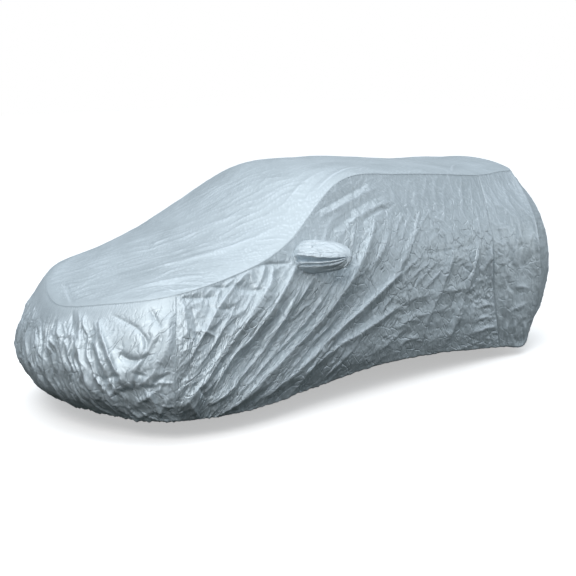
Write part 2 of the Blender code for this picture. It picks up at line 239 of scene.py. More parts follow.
def creases(*rows: tuple) -> tuple[Crease, ...]:
    """Read a table of creases.

    Args:
        rows: for each, start, middle and end in centimetres, width and height in millimetres, and roll.

    Returns:
        The creases, in metres.
    """
    return tuple(Crease(*[(x / 100, y / 100) for x, y in row[:3]], row[3] / 1000, row[4] / 1000, *row[5:])
                 for row in rows)


class Pulls(NamedTuple):
    """Many fine pull lines in one stretch of cloth, between two corners of its facing's plane."""

    low: Spot
    high: Spot
    angle: float
    length: float
    spacing: float
    height: float
    seed: int


class Crumple(NamedTuple):
    """Crushed cloth with facets of about one size, between two corners of its facing's plane."""

    low: Spot
    high: Spot
    size: float
    height: float
    seed: int


class Taut(NamedTuple):
    """A three-sided patch of cloth pulled tight: it has no fine wrinkles, and it leans out towards its tip."""

    first: Spot
    second: Spot
    tip: Spot
    height: float
    edge: float


@dataclass(frozen=True)
class Relief:
    """Every fold and wrinkle on one facing of the cover."""

    facing: Facing
    creases: tuple[Crease, ...] = ()
    pulls: tuple[Pulls, ...] = ()
    crumples: tuple[Crumple, ...] = ()
    tauts: tuple[Taut, ...] = ()
    samples: int = 28
    finest: float = 0.048
    crest_radius: float = 0.22
    soft_edge: float = 0.14

    def area_share(self, low: Spot, high: Spot, place: Array) -> Array:
        """Fade from 1 inside two corners to 0 outside them."""
        inside = np.minimum(place - np.array(low), np.array(high) - place) / self.soft_edge + 0.5
        return smooth_step(inside[..., 0]) * smooth_step(inside[..., 1])

    def crease_lift(self, crease: Crease, place: Array) -> tuple[Array, Array]:
        """Work out one crease.

        Args:
            crease: the fold.
            place: flat places, one row each.

        Returns:
            Its height at each place, and how far it moves each place sideways on the plane.
        """
        part = np.linspace(0.0, 1.0, self.samples)[:, None]
        start, middle, end = (np.array(spot) for spot in crease[:3])
        pull = 2 * middle - (start + end) / 2
        path = (1 - part) ** 2 * start + 2 * part * (1 - part) * pull + part**2 * end
        way = unit(np.gradient(path, axis=0))
        step = np.linalg.norm(np.diff(path, axis=0), axis=1).mean()
        nearest = np.linalg.norm(place[:, None] - path, axis=-1).argmin(axis=1)
        offset = place - path[nearest]
        along = (offset * way[nearest]).sum(axis=1)
        right = np.stack([way[nearest, 1], -way[nearest, 0]], axis=-1)
        across = (offset * right).sum(axis=1)
        run = np.clip((nearest + along / step) / (self.samples - 1), 0.0, 1.0)
        bow = np.sin(np.pi * run)
        reach = np.abs(across) / (crease.width * (0.55 + 0.45 * bow))
        crest = np.exp(self.crest_radius - np.sqrt(reach**2 + self.crest_radius**2))
        height = crease.height * bow**0.6 * crest
        return height, right * (np.abs(height) * crease.roll * crest)[:, None]

    def pull_lift(self, pulls: Pulls, place: Array) -> Array:
        """Work out a stretch of pull lines.

        Args:
            pulls: the stretch.
            place: flat places, one row each.

        Returns:
            The height at each place.
        """
        angle = math.radians(pulls.angle)
        way = np.array([math.cos(angle), math.sin(angle)])
        side = np.array([-way[1], way[0]])
        noise = Noise(pulls.seed)
        warp = noise.at(place / (2.2 * pulls.spacing) + 7.1) * 0.5
        flat = np.stack([place @ way / pulls.length, place @ side / pulls.spacing + warp], axis=-1)
        share = self.area_share(pulls.low, pulls.high, place)
        fitful = 0.55 + 0.6 * noise.at(place / (0.6 * pulls.length) + 3.3)
        octaves = 2 if pulls.spacing > self.finest else 1
        return pulls.height * share * fitful * (noise.crests(flat, octaves) - 0.3)

    def crumple_lift(self, crumple: Crumple, place: Array) -> Array:
        """Work out a stretch of crushed cloth.

        Args:
            crumple: the stretch.
            place: flat places, one row each.

        Returns:
            The height at each place.
        """
        noise = Noise(crumple.seed)
        flat = place / crumple.size
        warp = np.stack([noise.at(flat * 0.6 + 11.3), noise.at(flat * 0.6 + 5.9)], axis=-1)
        share = self.area_share(crumple.low, crumple.high, place)
        return crumple.height * share * (noise.crests(flat + warp * 0.7, 3) - 0.35)

    @staticmethod
    def taut_share(taut: Taut, place: Array) -> tuple[Array, Array]:
        """Work out a taut patch.

        Args:
            taut: the patch.
            place: flat places, one row each.

        Returns:
            How far each place is inside the patch, from 0 to 1, and how far down it towards its tip.
        """
        corners = np.array(taut[:3])
        inside = np.full(len(place), np.inf)
        for number in range(3):
            start, end, other = corners[number], corners[(number + 1) % 3], corners[(number + 2) % 3]
            way = unit(end - start)
            across = np.array((-way[1], way[0]))
            across = across * np.sign((other - start) @ across)
            inside = np.minimum(inside, (place - start) @ across)
        top = (corners[0] + corners[1]) / 2
        run = corners[2] - top
        return smooth_step(inside / taut.edge + 0.5), np.clip((place - top) @ run / (run @ run), 0.0, 1.0)

    def lift(self, points: Array, normals: Array) -> Array:
        """Work out how all the folds move a sheet's points.

        Args:
            points: the smooth sheet, rows by columns.
            normals: its outward normals.

        Returns:
            A move for each point.
        """
        flat = points[..., self.facing.axes].reshape(-1, 2)
        normal = normals.reshape(-1, 3)
        share = self.facing.share(normal)
        height = np.zeros(len(flat))
        sideways = np.zeros((len(flat), 3))
        for pulls in self.pulls:
            height += self.pull_lift(pulls, flat)
        for crumple in self.crumples:
            height += self.crumple_lift(crumple, flat)
        for taut in self.tauts:
            inside, down = self.taut_share(taut, flat)
            height += (taut.height * down - height) * inside
        for crease in self.creases:
            corners = np.array(crease[:3])
            margin = 5 * crease.width
            near = np.all((flat > corners.min(axis=0) - margin) & (flat < corners.max(axis=0) + margin), axis=1)
            near &= share > 0
            if near.any():
                rise, slide = self.crease_lift(crease, flat[near])
                height[near] += rise
                sideways[np.ix_(near, self.facing.axes)] += slide
        move = (normal * height[:, None] + sideways) * share[:, None]
        return move.reshape(points.shape)


class Section(NamedTuple):
    """A section through the near half of the cover: five places down it, and the top panel's crown there."""

    name: str
    shoulder: Place
    belt: Place
    flank: Place
    skirt: Place
    hem: Place
    crown: float


class Lean(NamedTuple):
    """Where a near side column that leaves the shoulder seam at one section reaches the hem."""

    seam: float
    hem: float


SECTIONS = (
    Section("nose_middle", (-2.04, 0.00, 0.79), (-2.14, 0.00, 0.63), (-2.18, 0.00, 0.44),
            (-2.13, 0.00, 0.24), (-2.01, 0.00, 0.15), 0.0),
    Section("nose_quarter", (-1.92, 0.37, 0.84), (-2.05, 0.39, 0.65), (-2.11, 0.41, 0.45),
            (-2.05, 0.43, 0.26), (-1.92, 0.45, 0.14), 0.0),
    Section("front_seam", (-1.63, 0.69, 0.91), (-1.72, 0.80, 0.68), (-1.76, 0.84, 0.46),
            (-1.76, 0.84, 0.27), (-1.69, 0.80, 0.15), 0.0),
    Section("front_side", (-1.24, 0.75, 0.98), (-1.30, 0.85, 0.78), (-1.32, 0.89, 0.46),
            (-1.30, 0.92, 0.26), (-1.26, 0.89, 0.14), 0.07),
    Section("pocket", (-0.76, 0.75, 1.14), (-0.68, 0.88, 0.94), (-0.67, 0.91, 0.56),
            (-0.66, 0.92, 0.30), (-0.66, 0.87, 0.16), 0.07),
    Section("brow", (-0.13, 0.59, 1.48), (-0.10, 0.88, 0.98), (-0.10, 0.92, 0.55),
            (-0.09, 0.92, 0.32), (-0.09, 0.88, 0.20), 0.07),
    Section("middle", (0.49, 0.59, 1.48), (0.49, 0.88, 0.97), (0.50, 0.92, 0.55),
            (0.50, 0.92, 0.33), (0.50, 0.89, 0.18), 0.09),
    Section("rear_seam", (1.36, 0.61, 1.41), (1.19, 0.90, 0.97), (1.19, 0.93, 0.55),
            (1.24, 0.94, 0.28), (1.30, 0.92, 0.10), 0.066),
    Section("rear_side", (1.66, 0.57, 1.41), (1.68, 0.89, 0.98), (1.73, 0.92, 0.58),
            (1.70, 0.93, 0.29), (1.61, 0.93, 0.07), 0.038),
    Section("rear_corner", (1.91, 0.49, 1.41), (2.06, 0.70, 1.03), (2.14, 0.73, 0.62),
            (2.08, 0.71, 0.37), (1.94, 0.64, 0.20), 0.0),
    Section("tail_quarter", (1.97, 0.27, 1.45), (2.17, 0.39, 1.03), (2.24, 0.40, 0.62),
            (2.17, 0.39, 0.37), (2.04, 0.37, 0.22), 0.0),
    Section("tail_middle", (1.98, 0.00, 1.47), (2.18, 0.00, 1.04), (2.26, 0.00, 0.63),
            (2.18, 0.00, 0.38), (2.05, 0.00, 0.22), 0.0),
)
LEANS = (Lean(2, 2), Lean(3, 2.25), Lean(4, 2.6), Lean(5, 3.3), Lean(6, 5.0), Lean(7, 7))


@dataclass
class CoverForm:
    """The smooth shape that the whole cover takes when it is worn, without its folds."""

    sections: tuple[Section, ...] = SECTIONS
    leans: tuple[Lean, ...] = LEANS
    lean_start: float = 0.22
    crown_power: float = 2.4
    rings: Array = field(init=False)
    knots: Array = field(init=False)
    girth: float = field(init=False)

    def __post_init__(self) -> None:
        """Close the loop of sections and measure it along the belt."""
        half = np.array([[row.shoulder, row.belt, row.flank, row.skirt, row.hem] for row in self.sections])
        self.rings = np.concatenate([half * (1, -1, 1), half[-2:0:-1]])
        belt = self.rings[:, 1]
        step = np.linalg.norm(np.roll(belt, -1, axis=0) - belt, axis=1)
        self.knots = np.concatenate([[0.0], np.cumsum(step)[:-1]])
        self.girth = float(step.sum())

    @property
    def loop(self) -> int:
        """How many sections go once round the cover."""
        return len(self.rings)

    def number(self, name: str) -> int:
        """Find the section number of a named section on the near half."""
        return [row.name for row in self.sections].index(name)

    def sections_at(self, number: Array) -> Array:
        """Read the five places of any section.

        Args:
            number: section numbers, which may be fractions and may run past the loop.

        Returns:
            Five places for each number.
        """
        number = np.mod(np.asarray(number, float), self.loop)
        around = np.interp(number, np.arange(self.loop + 1), np.append(self.knots, self.girth))
        after = self.girth + np.array([0, self.knots[1]])
        knots = np.concatenate([[self.knots[-1] - self.girth], self.knots, after])
        values = np.concatenate([self.rings[-1:], self.rings, self.rings[:2]]).reshape(self.loop + 3, -1)
        return smooth_curve(knots, values, around).reshape(-1, 5, 3)

    def wall(self, numbers: Array, drops: Array) -> Array:
        """Read points of the upright cloth.

        Args:
            numbers: section numbers, rows by columns.
            drops: share of the way from the shoulder seam to the hem, rows by columns.

        Returns:
            A grid of points.
        """
        points = self.sections_at(numbers.ravel())
        length = np.linalg.norm(np.diff(points, axis=1), axis=2)
        knots = np.concatenate([np.zeros((len(points), 1)), np.cumsum(length, axis=1)], axis=1)
        knots /= knots[:, -1:]
        drop = drops.ravel()
        slope = slopes(knots, points)
        index = np.clip((knots <= drop[:, None]).sum(axis=1) - 1, 0, 3)
        row = np.arange(len(points))
        step = (knots[row, index + 1] - knots[row, index])[:, None]
        part = (drop - knots[row, index])[:, None] / step
        low, high = points[row, index], points[row, index + 1]
        wall = cubic(low, high, slope[row, index], slope[row, index + 1], step, part)
        return wall.reshape(*numbers.shape, 3)

    def leaned(self, numbers: Array, drops: Array) -> Array:
        """Lean the near side's columns forward below the belt, as its folds lean.

        Args:
            numbers: section numbers, rows by columns.
            drops: share of the way from the shoulder seam to the hem, rows by columns.

        Returns:
            The leaned section numbers.
        """
        hem = np.interp(numbers, [row.seam for row in self.leans], [row.hem for row in self.leans])
        share = np.clip((drops - self.lean_start) / (1 - self.lean_start), 0.0, 1.0)
        return numbers + (hem - numbers) * share

    def shoulder(self, numbers: Array) -> Array:
        """Read the shoulder seam at any section numbers."""
        return self.sections_at(numbers)[:, 0]

    def top(self, near_numbers: Array, across: int) -> Array:
        """Stretch the top panel between its four edges and raise its crown.

        Args:
            near_numbers: section numbers down the near edge, from the front seam to the rear corner.
            across: columns from the near edge to the far edge.

        Returns:
            A grid of points, a row for each section number.
        """
        near, far = self.shoulder(near_numbers), self.shoulder(self.loop - near_numbers)
        first, last = near_numbers[0], near_numbers[-1]
        nose = self.shoulder(np.linspace(first, -first, across + 1))
        tail = self.shoulder(np.linspace(last, self.loop - last, across + 1))
        back = np.linspace(0.0, 1.0, len(near))[:, None, None]
        over = np.linspace(0.0, 1.0, across + 1)[None, :, None]
        sides = (1 - over) * near[:, None] + over * far[:, None]
        ends = (1 - back) * nose[None] + back * tail[None]
        head = (1 - over) * near[0] + over * far[0]
        foot = (1 - over) * near[-1] + over * far[-1]
        grid = sides + ends - (1 - back) * head - back * foot
        crowns = np.array([[row.crown] for row in self.sections])
        half = np.arange(len(self.sections))
        knots = self.knots[: len(half)]
        crown = smooth_curve(knots, crowns, np.interp(near_numbers, half, knots))
        grid[..., 2] += crown * (1 - np.abs(2 * over[..., 0] - 1) ** self.crown_power)
        return grid


NEAR_CREASES = creases(
    # The long folds that the hem pulls forward and down, from the front seam back.
    ((-117, 97), (-146, 77), (-166, 55), 22, 24, 0.3),
    ((-125, 86), (-147, 63), (-166, 45), 18, 16, 0.3),
    ((-96, 95), (-122, 72), (-160, 37), 40, 42, 0.4),
    ((-148, 50), (-160, 37), (-174, 26), 40, 34, 0.3),
    ((-75, 102), (-107, 73), (-129, 53), 34, 42, 0.4),
    ((-120, 61), (-138, 48), (-152, 32), 30, 34, 0.4),
    ((-78, 89), (-106, 57), (-130, 38), 26, 32, 0.4),
    ((-122, 45), (-138, 32), (-156, 24), 24, 26, 0.4),
    ((2, 121), (-42, 79), (-90, 45), 44, 58, 0.5),
    ((-70, 57), (-100, 40), (-150, 14), 40, 50, 0.5),
    ((17, 85), (-22, 66), (-84, 34), 34, 44, 0.5),
    ((-62, 44), (-88, 32), (-120, 19), 30, 32, 0.4),
    ((12, 61), (-20, 50), (-45, 44), 28, 30, 0.4),
    ((-36, 47), (-62, 37), (-90, 27), 26, 26, 0.4),
    ((-52, 86), (-86, 58), (-120, 38), 22, 20, 0.3),
    ((-40, 70), (-72, 48), (-102, 30), 16, 12),
    ((-102, 86), (-124, 62), (-144, 44), 12, 10),
    ((-88, 62), (-110, 44), (-134, 28), 14, 14),
    ((-130, 70), (-146, 54), (-160, 42), 12, 12),
    ((-110, 34), (-128, 24), (-146, 17), 12, 12),
    # Short ones under the pocket and before the front seam.
    ((-63, 95), (-74, 86), (-84, 76), 14, 18, 0.3),
    ((-72, 75), (-79, 73), (-86, 67), 10, 11),
    ((-80, 29), (-85, 21), (-92, 15), 14, 14),
    ((-27, 103), (-34, 88), (-46, 74), 16, 10),
    ((-41, 100), (-49, 86), (-60, 74), 20, -14),
    ((-39, 84), (-54, 69), (-70, 55), 18, 10),
    ((-50, 66), (-60, 57), (-80, 46), 14, 11),
    ((-105, 55), (-113, 47), (-123, 39), 12, 12),
    ((-34, 38), (-48, 30), (-58, 20), 14, 12),
    ((-54, 46), (-70, 36), (-86, 22), 16, 14),
    ((3, 28), (-7, 23), (-16, 19), 12, 10),
    ((-161, 88), (-165, 72), (-168, 52), 20, 16),
    ((-157, 86), (-160, 68), (-162, 50), 14, -12),
    ((-162, 71), (-154, 69), (-145, 64), 12, 12),
    ((-166, 40), (-158, 30), (-152, 18), 20, -20),
    ((-170, 30), (-164, 22), (-160, 16), 16, 18),
    # Crossing creases under the front of the shoulder seam.
    ((-142, 95), (-133, 92.5), (-120, 93), 12, -14),
    ((-162, 89.5), (-152, 88.5), (-138, 88), 12, -14),
    ((-126, 91), (-117, 90), (-106, 88), 22, -24),
    ((-134, 92), (-141, 86), (-146, 79), 10, 12),
    ((-108, 103), (-95, 103), (-80, 102), 12, -14),
    ((-106, 104), (-115, 99), (-122, 93), 14, 14),
    ((-100, 103), (-104, 97), (-112, 89), 14, 16),
    ((-94, 102), (-97, 97), (-103, 88), 10, 10),
    ((-123, 97), (-129, 94), (-134, 91), 12, 12),
    ((-148, 84), (-138, 80), (-128, 82), 12, -10),
    # The middle of the side.
    ((10, 71), (0, 65), (-8, 58), 14, 12),
    ((11, 112), (-1, 101), (-18, 89), 24, 16, 0.3),
    ((30, 106), (16, 90), (0, 78), 20, 10),
    ((-18, 118), (-25, 111), (-28, 104), 12, 12),
    ((64, 123), (36, 107), (22, 90), 16, 13),
    ((53, 125), (41, 114), (30, 105), 12, 10),
    ((36, 123), (25, 118), (18, 110), 12, 9),
    ((41, 122), (27, 112), (21, 103), 12, 9),
    ((87, 135), (78, 124), (71, 112), 12, 8),
    ((114, 142), (103, 129), (94, 116), 12, 9),
    ((114, 122), (108, 110), (103, 95), 14, 10),
    ((122, 138), (112, 125), (103, 112), 10, 7),
    ((84, 143), (74, 132), (69, 121), 10, 7),
    ((73, 143), (66, 136), (58, 130), 10, 6),
    ((101, 97), (94, 79), (85, 60), 26, 34, 0.3),
    ((88, 64), (73, 42), (67, 26), 22, 22),
    ((74, 96), (66, 81), (56, 66), 24, 28, 0.3),
    ((58, 68), (48, 55), (38, 38), 20, 18),
    ((114, 92), (115, 78), (114, 62), 22, 22),
    ((42, 97), (68, 106), (100, 97), 14, 4),
    ((40, 94), (68, 93.5), (100, 95.5), 18, -7),
    ((22, 76), (34, 83), (48, 88), 10, 9),
    ((30, 73), (42, 81), (54, 87), 10, 9),
    ((44, 71), (53, 78), (61, 83), 10, 8),
    ((16, 82), (28, 89), (41, 93), 10, 8),
    ((36, 68), (48, 75), (58, 79), 10, 8),
    ((14, 64), (55, 65.5), (102, 63), 45, 14, 0.6),
    ((24, 51), (57, 51), (98, 48), 24, 6, 0.4),
    ((0, 38), (50, 38), (105, 32), 70, -12),
    ((41, 48), (40, 38), (37, 30), 12, 11),
    ((84, 50), (74, 37), (60, 22), 18, 20, 0.3),
    ((96, 52), (93, 40), (91, 27), 14, 14),
    ((14, 31), (27, 35), (39, 30), 12, 10),
    ((-8, 31), (6, 38), (19, 43), 12, 9),
    ((11, 44), (22, 49), (36, 46), 12, 9),
    ((104, 74), (112, 83), (116, 92), 12, 12),
    ((98, 46), (108, 48), (118, 54), 10, 12),
    ((95, 35), (106, 38), (120, 35), 10, 12),
    ((94, 26), (108, 29), (122, 28), 10, 12),
    ((103, 42), (111, 47), (118, 44), 10, 10),
    # Pulls that run up to the brow.
    ((-47, 130), (-15, 138.5), (14, 146), 16, -16),
    ((-44, 127), (-12, 135), (20, 142), 14, 12),
    ((-30, 124), (-6, 131.5), (23, 136), 14, -12),
    ((-26, 120), (2, 128), (26, 131), 16, 10),
    ((-16, 118), (4, 125.5), (25, 128), 14, -12),
    ((-38, 118), (-26, 123), (-14, 126), 18, -18),
)
NEAR_PULLS = (
    Pulls((-1.75, 0.10), (-0.10, 1.00), 41, 0.45, 0.075, 0.013, 3),
    Pulls((-1.75, 0.10), (-0.30, 0.80), 36, 0.24, 0.034, 0.004, 4),
    Pulls((-0.20, 0.20), (0.60, 0.90), 38, 0.26, 0.050, 0.004, 5),
    Pulls((-0.30, 0.88), (0.70, 1.35), 44, 0.24, 0.050, 0.004, 6),
    Pulls((0.35, 0.95), (1.40, 1.50), 58, 0.18, 0.036, 0.003, 7),
    Pulls((0.10, 0.62), (1.10, 0.96), 26, 0.13, 0.042, 0.006, 8),
    Pulls((-0.60, 1.15), (0.35, 1.55), 20, 0.30, 0.036, 0.006, 9),
    Pulls((0.70, 0.30), (1.25, 1.00), 72, 0.16, 0.034, 0.008, 10),
)
NEAR_CRUMPLES = (
    Crumple((-1.80, 0.05), (1.40, 1.50), 0.140, 0.005, 11),
    Crumple((0.90, 0.10), (1.30, 0.70), 0.060, 0.008, 13),
    Crumple((-1.80, 0.70), (-1.05, 0.98), 0.080, 0.0035, 14),
)
FAR_CREASES = creases(
    ((-110, 92), (-130, 60), (-152, 26), 50, 30, -0.3),
    ((-62, 90), (-95, 56), (-130, 22), 50, 32, -0.3),
    ((0, 114), (-36, 74), (-85, 26), 55, 36, -0.4),
    ((42, 100), (30, 62), (10, 24), 50, 24),
    ((90, 102), (86, 64), (80, 24), 50, 26),
    ((-90, 96), (-116, 66), (-144, 40), 22, 18),
    ((-130, 86), (-146, 60), (-162, 36), 22, 18),
    ((-34, 80), (-66, 50), (-100, 26), 26, 20),
    ((16, 86), (-14, 58), (-50, 34), 26, 20),
    ((20, 56), (-6, 40), (-36, 24), 22, 16),
    ((60, 90), (52, 64), (44, 40), 20, 14),
    ((108, 94), (110, 70), (106, 44), 22, 16),
    ((66, 126), (52, 112), (40, 98), 16, 10),
    ((110, 136), (104, 122), (100, 104), 14, 10),
    ((-42, 126), (-12, 136), (18, 142), 16, -14),
    ((-30, 118), (0, 127), (28, 133), 16, 10),
    ((10, 64), (55, 65), (100, 62), 24, 12),
    ((30, 50), (60, 47), (96, 50), 18, 9),
    ((66, 48), (56, 34), (48, 22), 18, 14),
    ((98, 48), (94, 36), (92, 24), 16, 14),
)
FAR_PULLS = (
    Pulls((-1.75, 0.10), (-0.10, 1.00), 46, 0.36, 0.060, 0.016, 21),
    Pulls((-0.30, 0.90), (0.80, 1.40), 42, 0.22, 0.042, 0.008, 22),
    Pulls((0.00, 0.20), (1.30, 0.95), 62, 0.20, 0.045, 0.010, 23),
    Pulls((0.30, 1.00), (1.40, 1.50), 62, 0.16, 0.032, 0.006, 24),
)
FAR_CRUMPLES = (
    Crumple((-1.80, 0.05), (1.40, 1.50), 0.110, 0.0035, 25),
    Crumple((0.10, 0.10), (1.30, 0.60), 0.060, 0.0042, 26),
)
TOP_CREASES = creases(
    ((-78, -23), (-120, 2), (-166, 34), 30, 6),
    ((-74, -19), (-104, 18), (-144, 48), 30, 5),
    ((-68, -41), (-102, -2), (-146, 29), 26, 6),
    ((-80, -58), (-120, -44), (-158, -16), 30, 8),
    ((-94, -40), (-120, -22), (-146, -4), 24, 6),
    ((-74, -60), (-108, -48), (-144, -26), 24, 8),
    ((-88, -52), (-116, -33), (-150, -20), 22, 5),
    ((-140, -60), (-158, -47), (-178, -34), 26, 10),
    ((-148, -66), (-156, -55), (-166, -44), 14, -8),
    ((-163, -50), (-162, -58), (-161, -66), 10, 6),
    ((-54, 12), (-64, 30), (-78, 46), 26, 6),
    ((-36, -27), (-46, -8), (-60, 6), 26, 5),
    ((-43, -17), (-63, -5), (-88, 5), 26, 6),
    ((-56, 62), (-74, 68), (-90, 70), 26, 8),
    ((-184, 26), (-192, 6), (-200, -12), 16, -14),
    ((-186, 22), (-196, 2), (-202, -14), 30, 8),
    ((35, -34), (-6, -44), (-46, -56), 22, -10),
    ((30, -42), (-8, -50), (-44, -60), 18, 10),
    ((6, -50), (-20, -54), (-46, -60), 16, -10),
    ((-10, -42), (-34, -44), (-60, -50), 20, 6),
    ((140, -34), (124, -44), (110, -56), 14, 6),
    ((166, -30), (176, -10), (180, 14), 40, 7),
    ((20, 40), (60, 34), (110, 38), 60, 6),
    ((40, -10), (90, -14), (140, -8), 70, 5),
)
TOP_PULLS = (
    Pulls((-1.95, -0.80), (-0.30, 0.80), -31, 0.55, 0.085, 0.0070, 31),
    Pulls((-1.80, -0.80), (-0.40, 0.60), -30, 0.36, 0.036, 0.0030, 32),
    Pulls((-0.60, -0.65), (1.95, 0.65), 6, 0.50, 0.110, 0.0040, 33),
    Pulls((-2.10, -0.10), (-1.80, 0.70), 88, 0.07, 0.022, 0.0040, 34),
)
TOP_CRUMPLES = (
    Crumple((-2.10, -0.80), (2.00, 0.80), 0.170, 0.0015, 35),
    Crumple((-1.75, -0.75), (-1.30, -0.45), 0.060, 0.0015, 36),
    Crumple((-2.10, -0.30), (-1.80, 0.70), 0.050, 0.0013, 37),
)
NOSE_CREASES = creases(
    ((-13, 82), (-18, 74), (-24, 66), 16, -16),
    ((-26, 65), (-37, 53), (-46, 27), 26, 36, -0.3),
    ((-8, 72), (-17, 61), (-28, 42), 18, 22, -0.3),
    ((-6, 67), (-10, 60), (-14, 54), 16, 20),
    ((-5, 61), (-8, 55), (-15, 46), 14, 16),
    ((-4, 52), (-7, 40), (-10, 27), 18, 20),
    ((11, 62), (3, 50), (-3, 36), 18, 22),
    ((27, 60), (20, 52), (12, 40), 18, 22),
    ((-21, 62), (-25, 57), (-30, 49), 14, 18),
    ((-26, 78), (-30, 72), (-36, 69), 14, 16),
    ((-19, 79), (-25, 74), (-29, 69), 14, 14),
    ((-40, 64), (-47, 57), (-53, 45), 16, 18),
    ((-46, 59), (-51, 52), (-56, 45), 12, 14),
    ((-31, 43), (-33, 32), (-32, 20), 18, 20),
    ((-40, 44), (-43, 33), (-42, 20), 18, 20),
    ((-52, 40), (-55, 30), (-52, 18), 20, 20),
    ((42, 66), (40, 46), (36, 24), 22, 24),
    ((56, 66), (56, 46), (52, 24), 22, 22),
    ((22, 46), (18, 34), (18, 20), 18, 20),
    ((6, 40), (4, 30), (6, 18), 18, 20),
    # The taut wedge of cloth at the near corner, its two edges and what dents it.
    ((-38, 75), (-52, 58), (-66, 37), 20, 34, 0.4),
    ((-72, 80), (-79, 56), (-68, 37), 22, 32, -0.4),
    ((-60, 36), (-67, 35), (-76, 40), 24, -30),
    ((-43, 79), (-59, 74), (-66, 69), 10, -12),
    ((-65, 70), (-69, 66), (-71, 59), 12, -18),
    ((-60, 86), (-66, 80), (-73, 73), 8, -14),
    ((-58, 59), (-66, 55), (-73, 59), 26, -30),
    ((-67, 49), (-71, 46.5), (-75, 46), 10, -12),
    ((-50, 42), (-57, 44.5), (-62, 46), 12, -14),
    # The crushed corner below it.
    ((-60, 18), (-70, 21), (-78, 27), 14, 18),
    ((-65, 26), (-73, 32), (-80, 39), 14, 18),
    ((-70, 16), (-78, 24), (-83, 33), 12, 16),
    ((-74, 36), (-79, 44), (-83, 48), 14, -16),
)
NOSE_TAUTS = (Taut((-0.37, 0.78), (-0.76, 0.82), (-0.67, 0.38), 0.030, 0.030),)
NOSE_PULLS = (
    Pulls((-0.62, 0.30), (0.90, 0.70), 64, 0.45, 0.055, 0.028, 41),
    Pulls((-0.80, 0.10), (0.90, 0.46), 88, 0.45, 0.050, 0.028, 42),
)
NOSE_CRUMPLES = (
    Crumple((-0.90, 0.05), (-0.52, 0.46), 0.070, 0.010, 44),
    Crumple((-0.30, 0.55), (0.90, 0.74), 0.040, 0.004, 46),
)
TAIL_SIDE_CREASES = creases(
    ((186, 142), (176, 112), (172, 80), 50, 38),
    ((172, 94), (174, 68), (180, 36), 50, 34),
    ((160, 132), (153, 114), (151, 90), 45, 14),
    ((124, 107), (131, 106), (144, 108), 12, 6),
    ((125, 104), (133, 103), (146, 105), 12, 5),
    ((136, 121), (140, 118), (146, 118), 14, 7),
    ((125, 94), (129, 91), (135, 93), 10, 7),
    ((124, 90), (129, 87), (135, 89), 10, 7),
    ((123, 86), (128, 83), (135, 85), 10, 7),
    ((123, 80), (129, 77), (137, 79), 10, 7),
    ((140, 90), (151, 88), (165, 90), 14, -6),
    ((135, 77), (151, 72), (167, 80), 24, -10),
    ((135, 70), (136, 58), (144, 54), 16, -8),
    ((142, 56), (151, 56), (160, 53), 18, 14),
    ((132, 52), (131, 42), (130, 32), 14, 14),
    ((136, 39), (147, 40), (158, 43), 14, 12),
    ((160, 84), (164, 92), (170, 96), 12, 10),
    ((134, 30), (135, 24), (135, 16), 10, 14),
    ((143, 29), (145, 22), (146, 14), 12, 14),
    ((153, 28), (156, 21), (157, 13), 12, 14),
)
TAIL_SIDE_PULLS = (
    Pulls((1.10, 0.65), (1.38, 1.00), 8, 0.09, 0.026, 0.006, 51),
    Pulls((1.25, 1.00), (1.75, 1.45), 76, 0.24, 0.050, 0.006, 52),
    Pulls((1.25, 0.05), (1.75, 0.34), 86, 0.14, 0.036, 0.014, 53),
)
TAIL_SIDE_CRUMPLES = (
    Crumple((1.10, 0.05), (1.85, 1.45), 0.150, 0.004, 54),
    Crumple((1.20, 0.30), (1.40, 1.00), 0.060, 0.004, 55),
)
TAIL_CREASES = creases(
    ((45, 124), (50, 80), (48, 22), 60, 26),
    ((12, 124), (10, 80), (14, 22), 60, 22),
    ((-20, 124), (-24, 80), (-20, 22), 60, 26),
    ((-50, 120), (-56, 84), (-54, 40), 40, 20),
    ((30, 100), (30, 70), (34, 30), 30, 16),
    ((-4, 96), (-6, 66), (-2, 28), 30, 16),
    ((-38, 90), (-38, 60), (-34, 28), 26, 14),
)
TAIL_PULLS = (
    Pulls((-0.90, 0.15), (0.90, 0.75), 88, 0.30, 0.060, 0.020, 61),
    Pulls((-0.90, 0.70), (0.90, 1.45), 84, 0.34, 0.090, 0.012, 62),
)
TAIL_CRUMPLES = (Crumple((-0.90, 0.10), (0.90, 1.45), 0.100, 0.0049, 63),)


def feed(tree: Tree, node: Node, values: dict) -> None:
    """Set a node's inputs.

    Args:
        tree: the node's tree.
        node: the node.
        values: for an input's name or number, its value or the socket that feeds it.
    """
    for name, value in values.items():
        if isinstance(value, Socket):
            tree.links.new(value, node.inputs[name])
        else:
            node.inputs[name].default_value = value


def add_node(tree: Tree, kind: str, values: dict, **options: object) -> Node:
    """Add a node to a tree.

    Args:
        tree: the tree.
        kind: Blender's name for the node.
        values: for an input's name or number, its value or the socket that feeds it.
        options: the node's own settings.

    Returns:
        The node.
    """
    node = tree.nodes.new(kind)
    for name, value in options.items():
        setattr(node, name, value)
    feed(tree, node, values)
    return node


def new_material(name: str) -> tuple[Material, Tree]:
    """Start a material.

    Args:
        name: the material's name.

    Returns:
        The material, and its node tree with a shader in it.
    """
    material = bpy.data.materials.new(name)
    material.use_nodes = True
    return material, material.node_tree


class Crinkles(NamedTuple):
    """A net of fine creases on one of the sheet's flat maps.

    Cells is how many cells it has in a metre, each way. Width is a crease's, as a share of a cell. Patches is the
    size of its patches in metres, and depth is its share of the cloth's own crinkle depth.
    """

    flat_map: str
    cells: Spot
    width: float
    patches: float
    depth: float
    bend: float = 0.05
    bend_size: float = 0.09


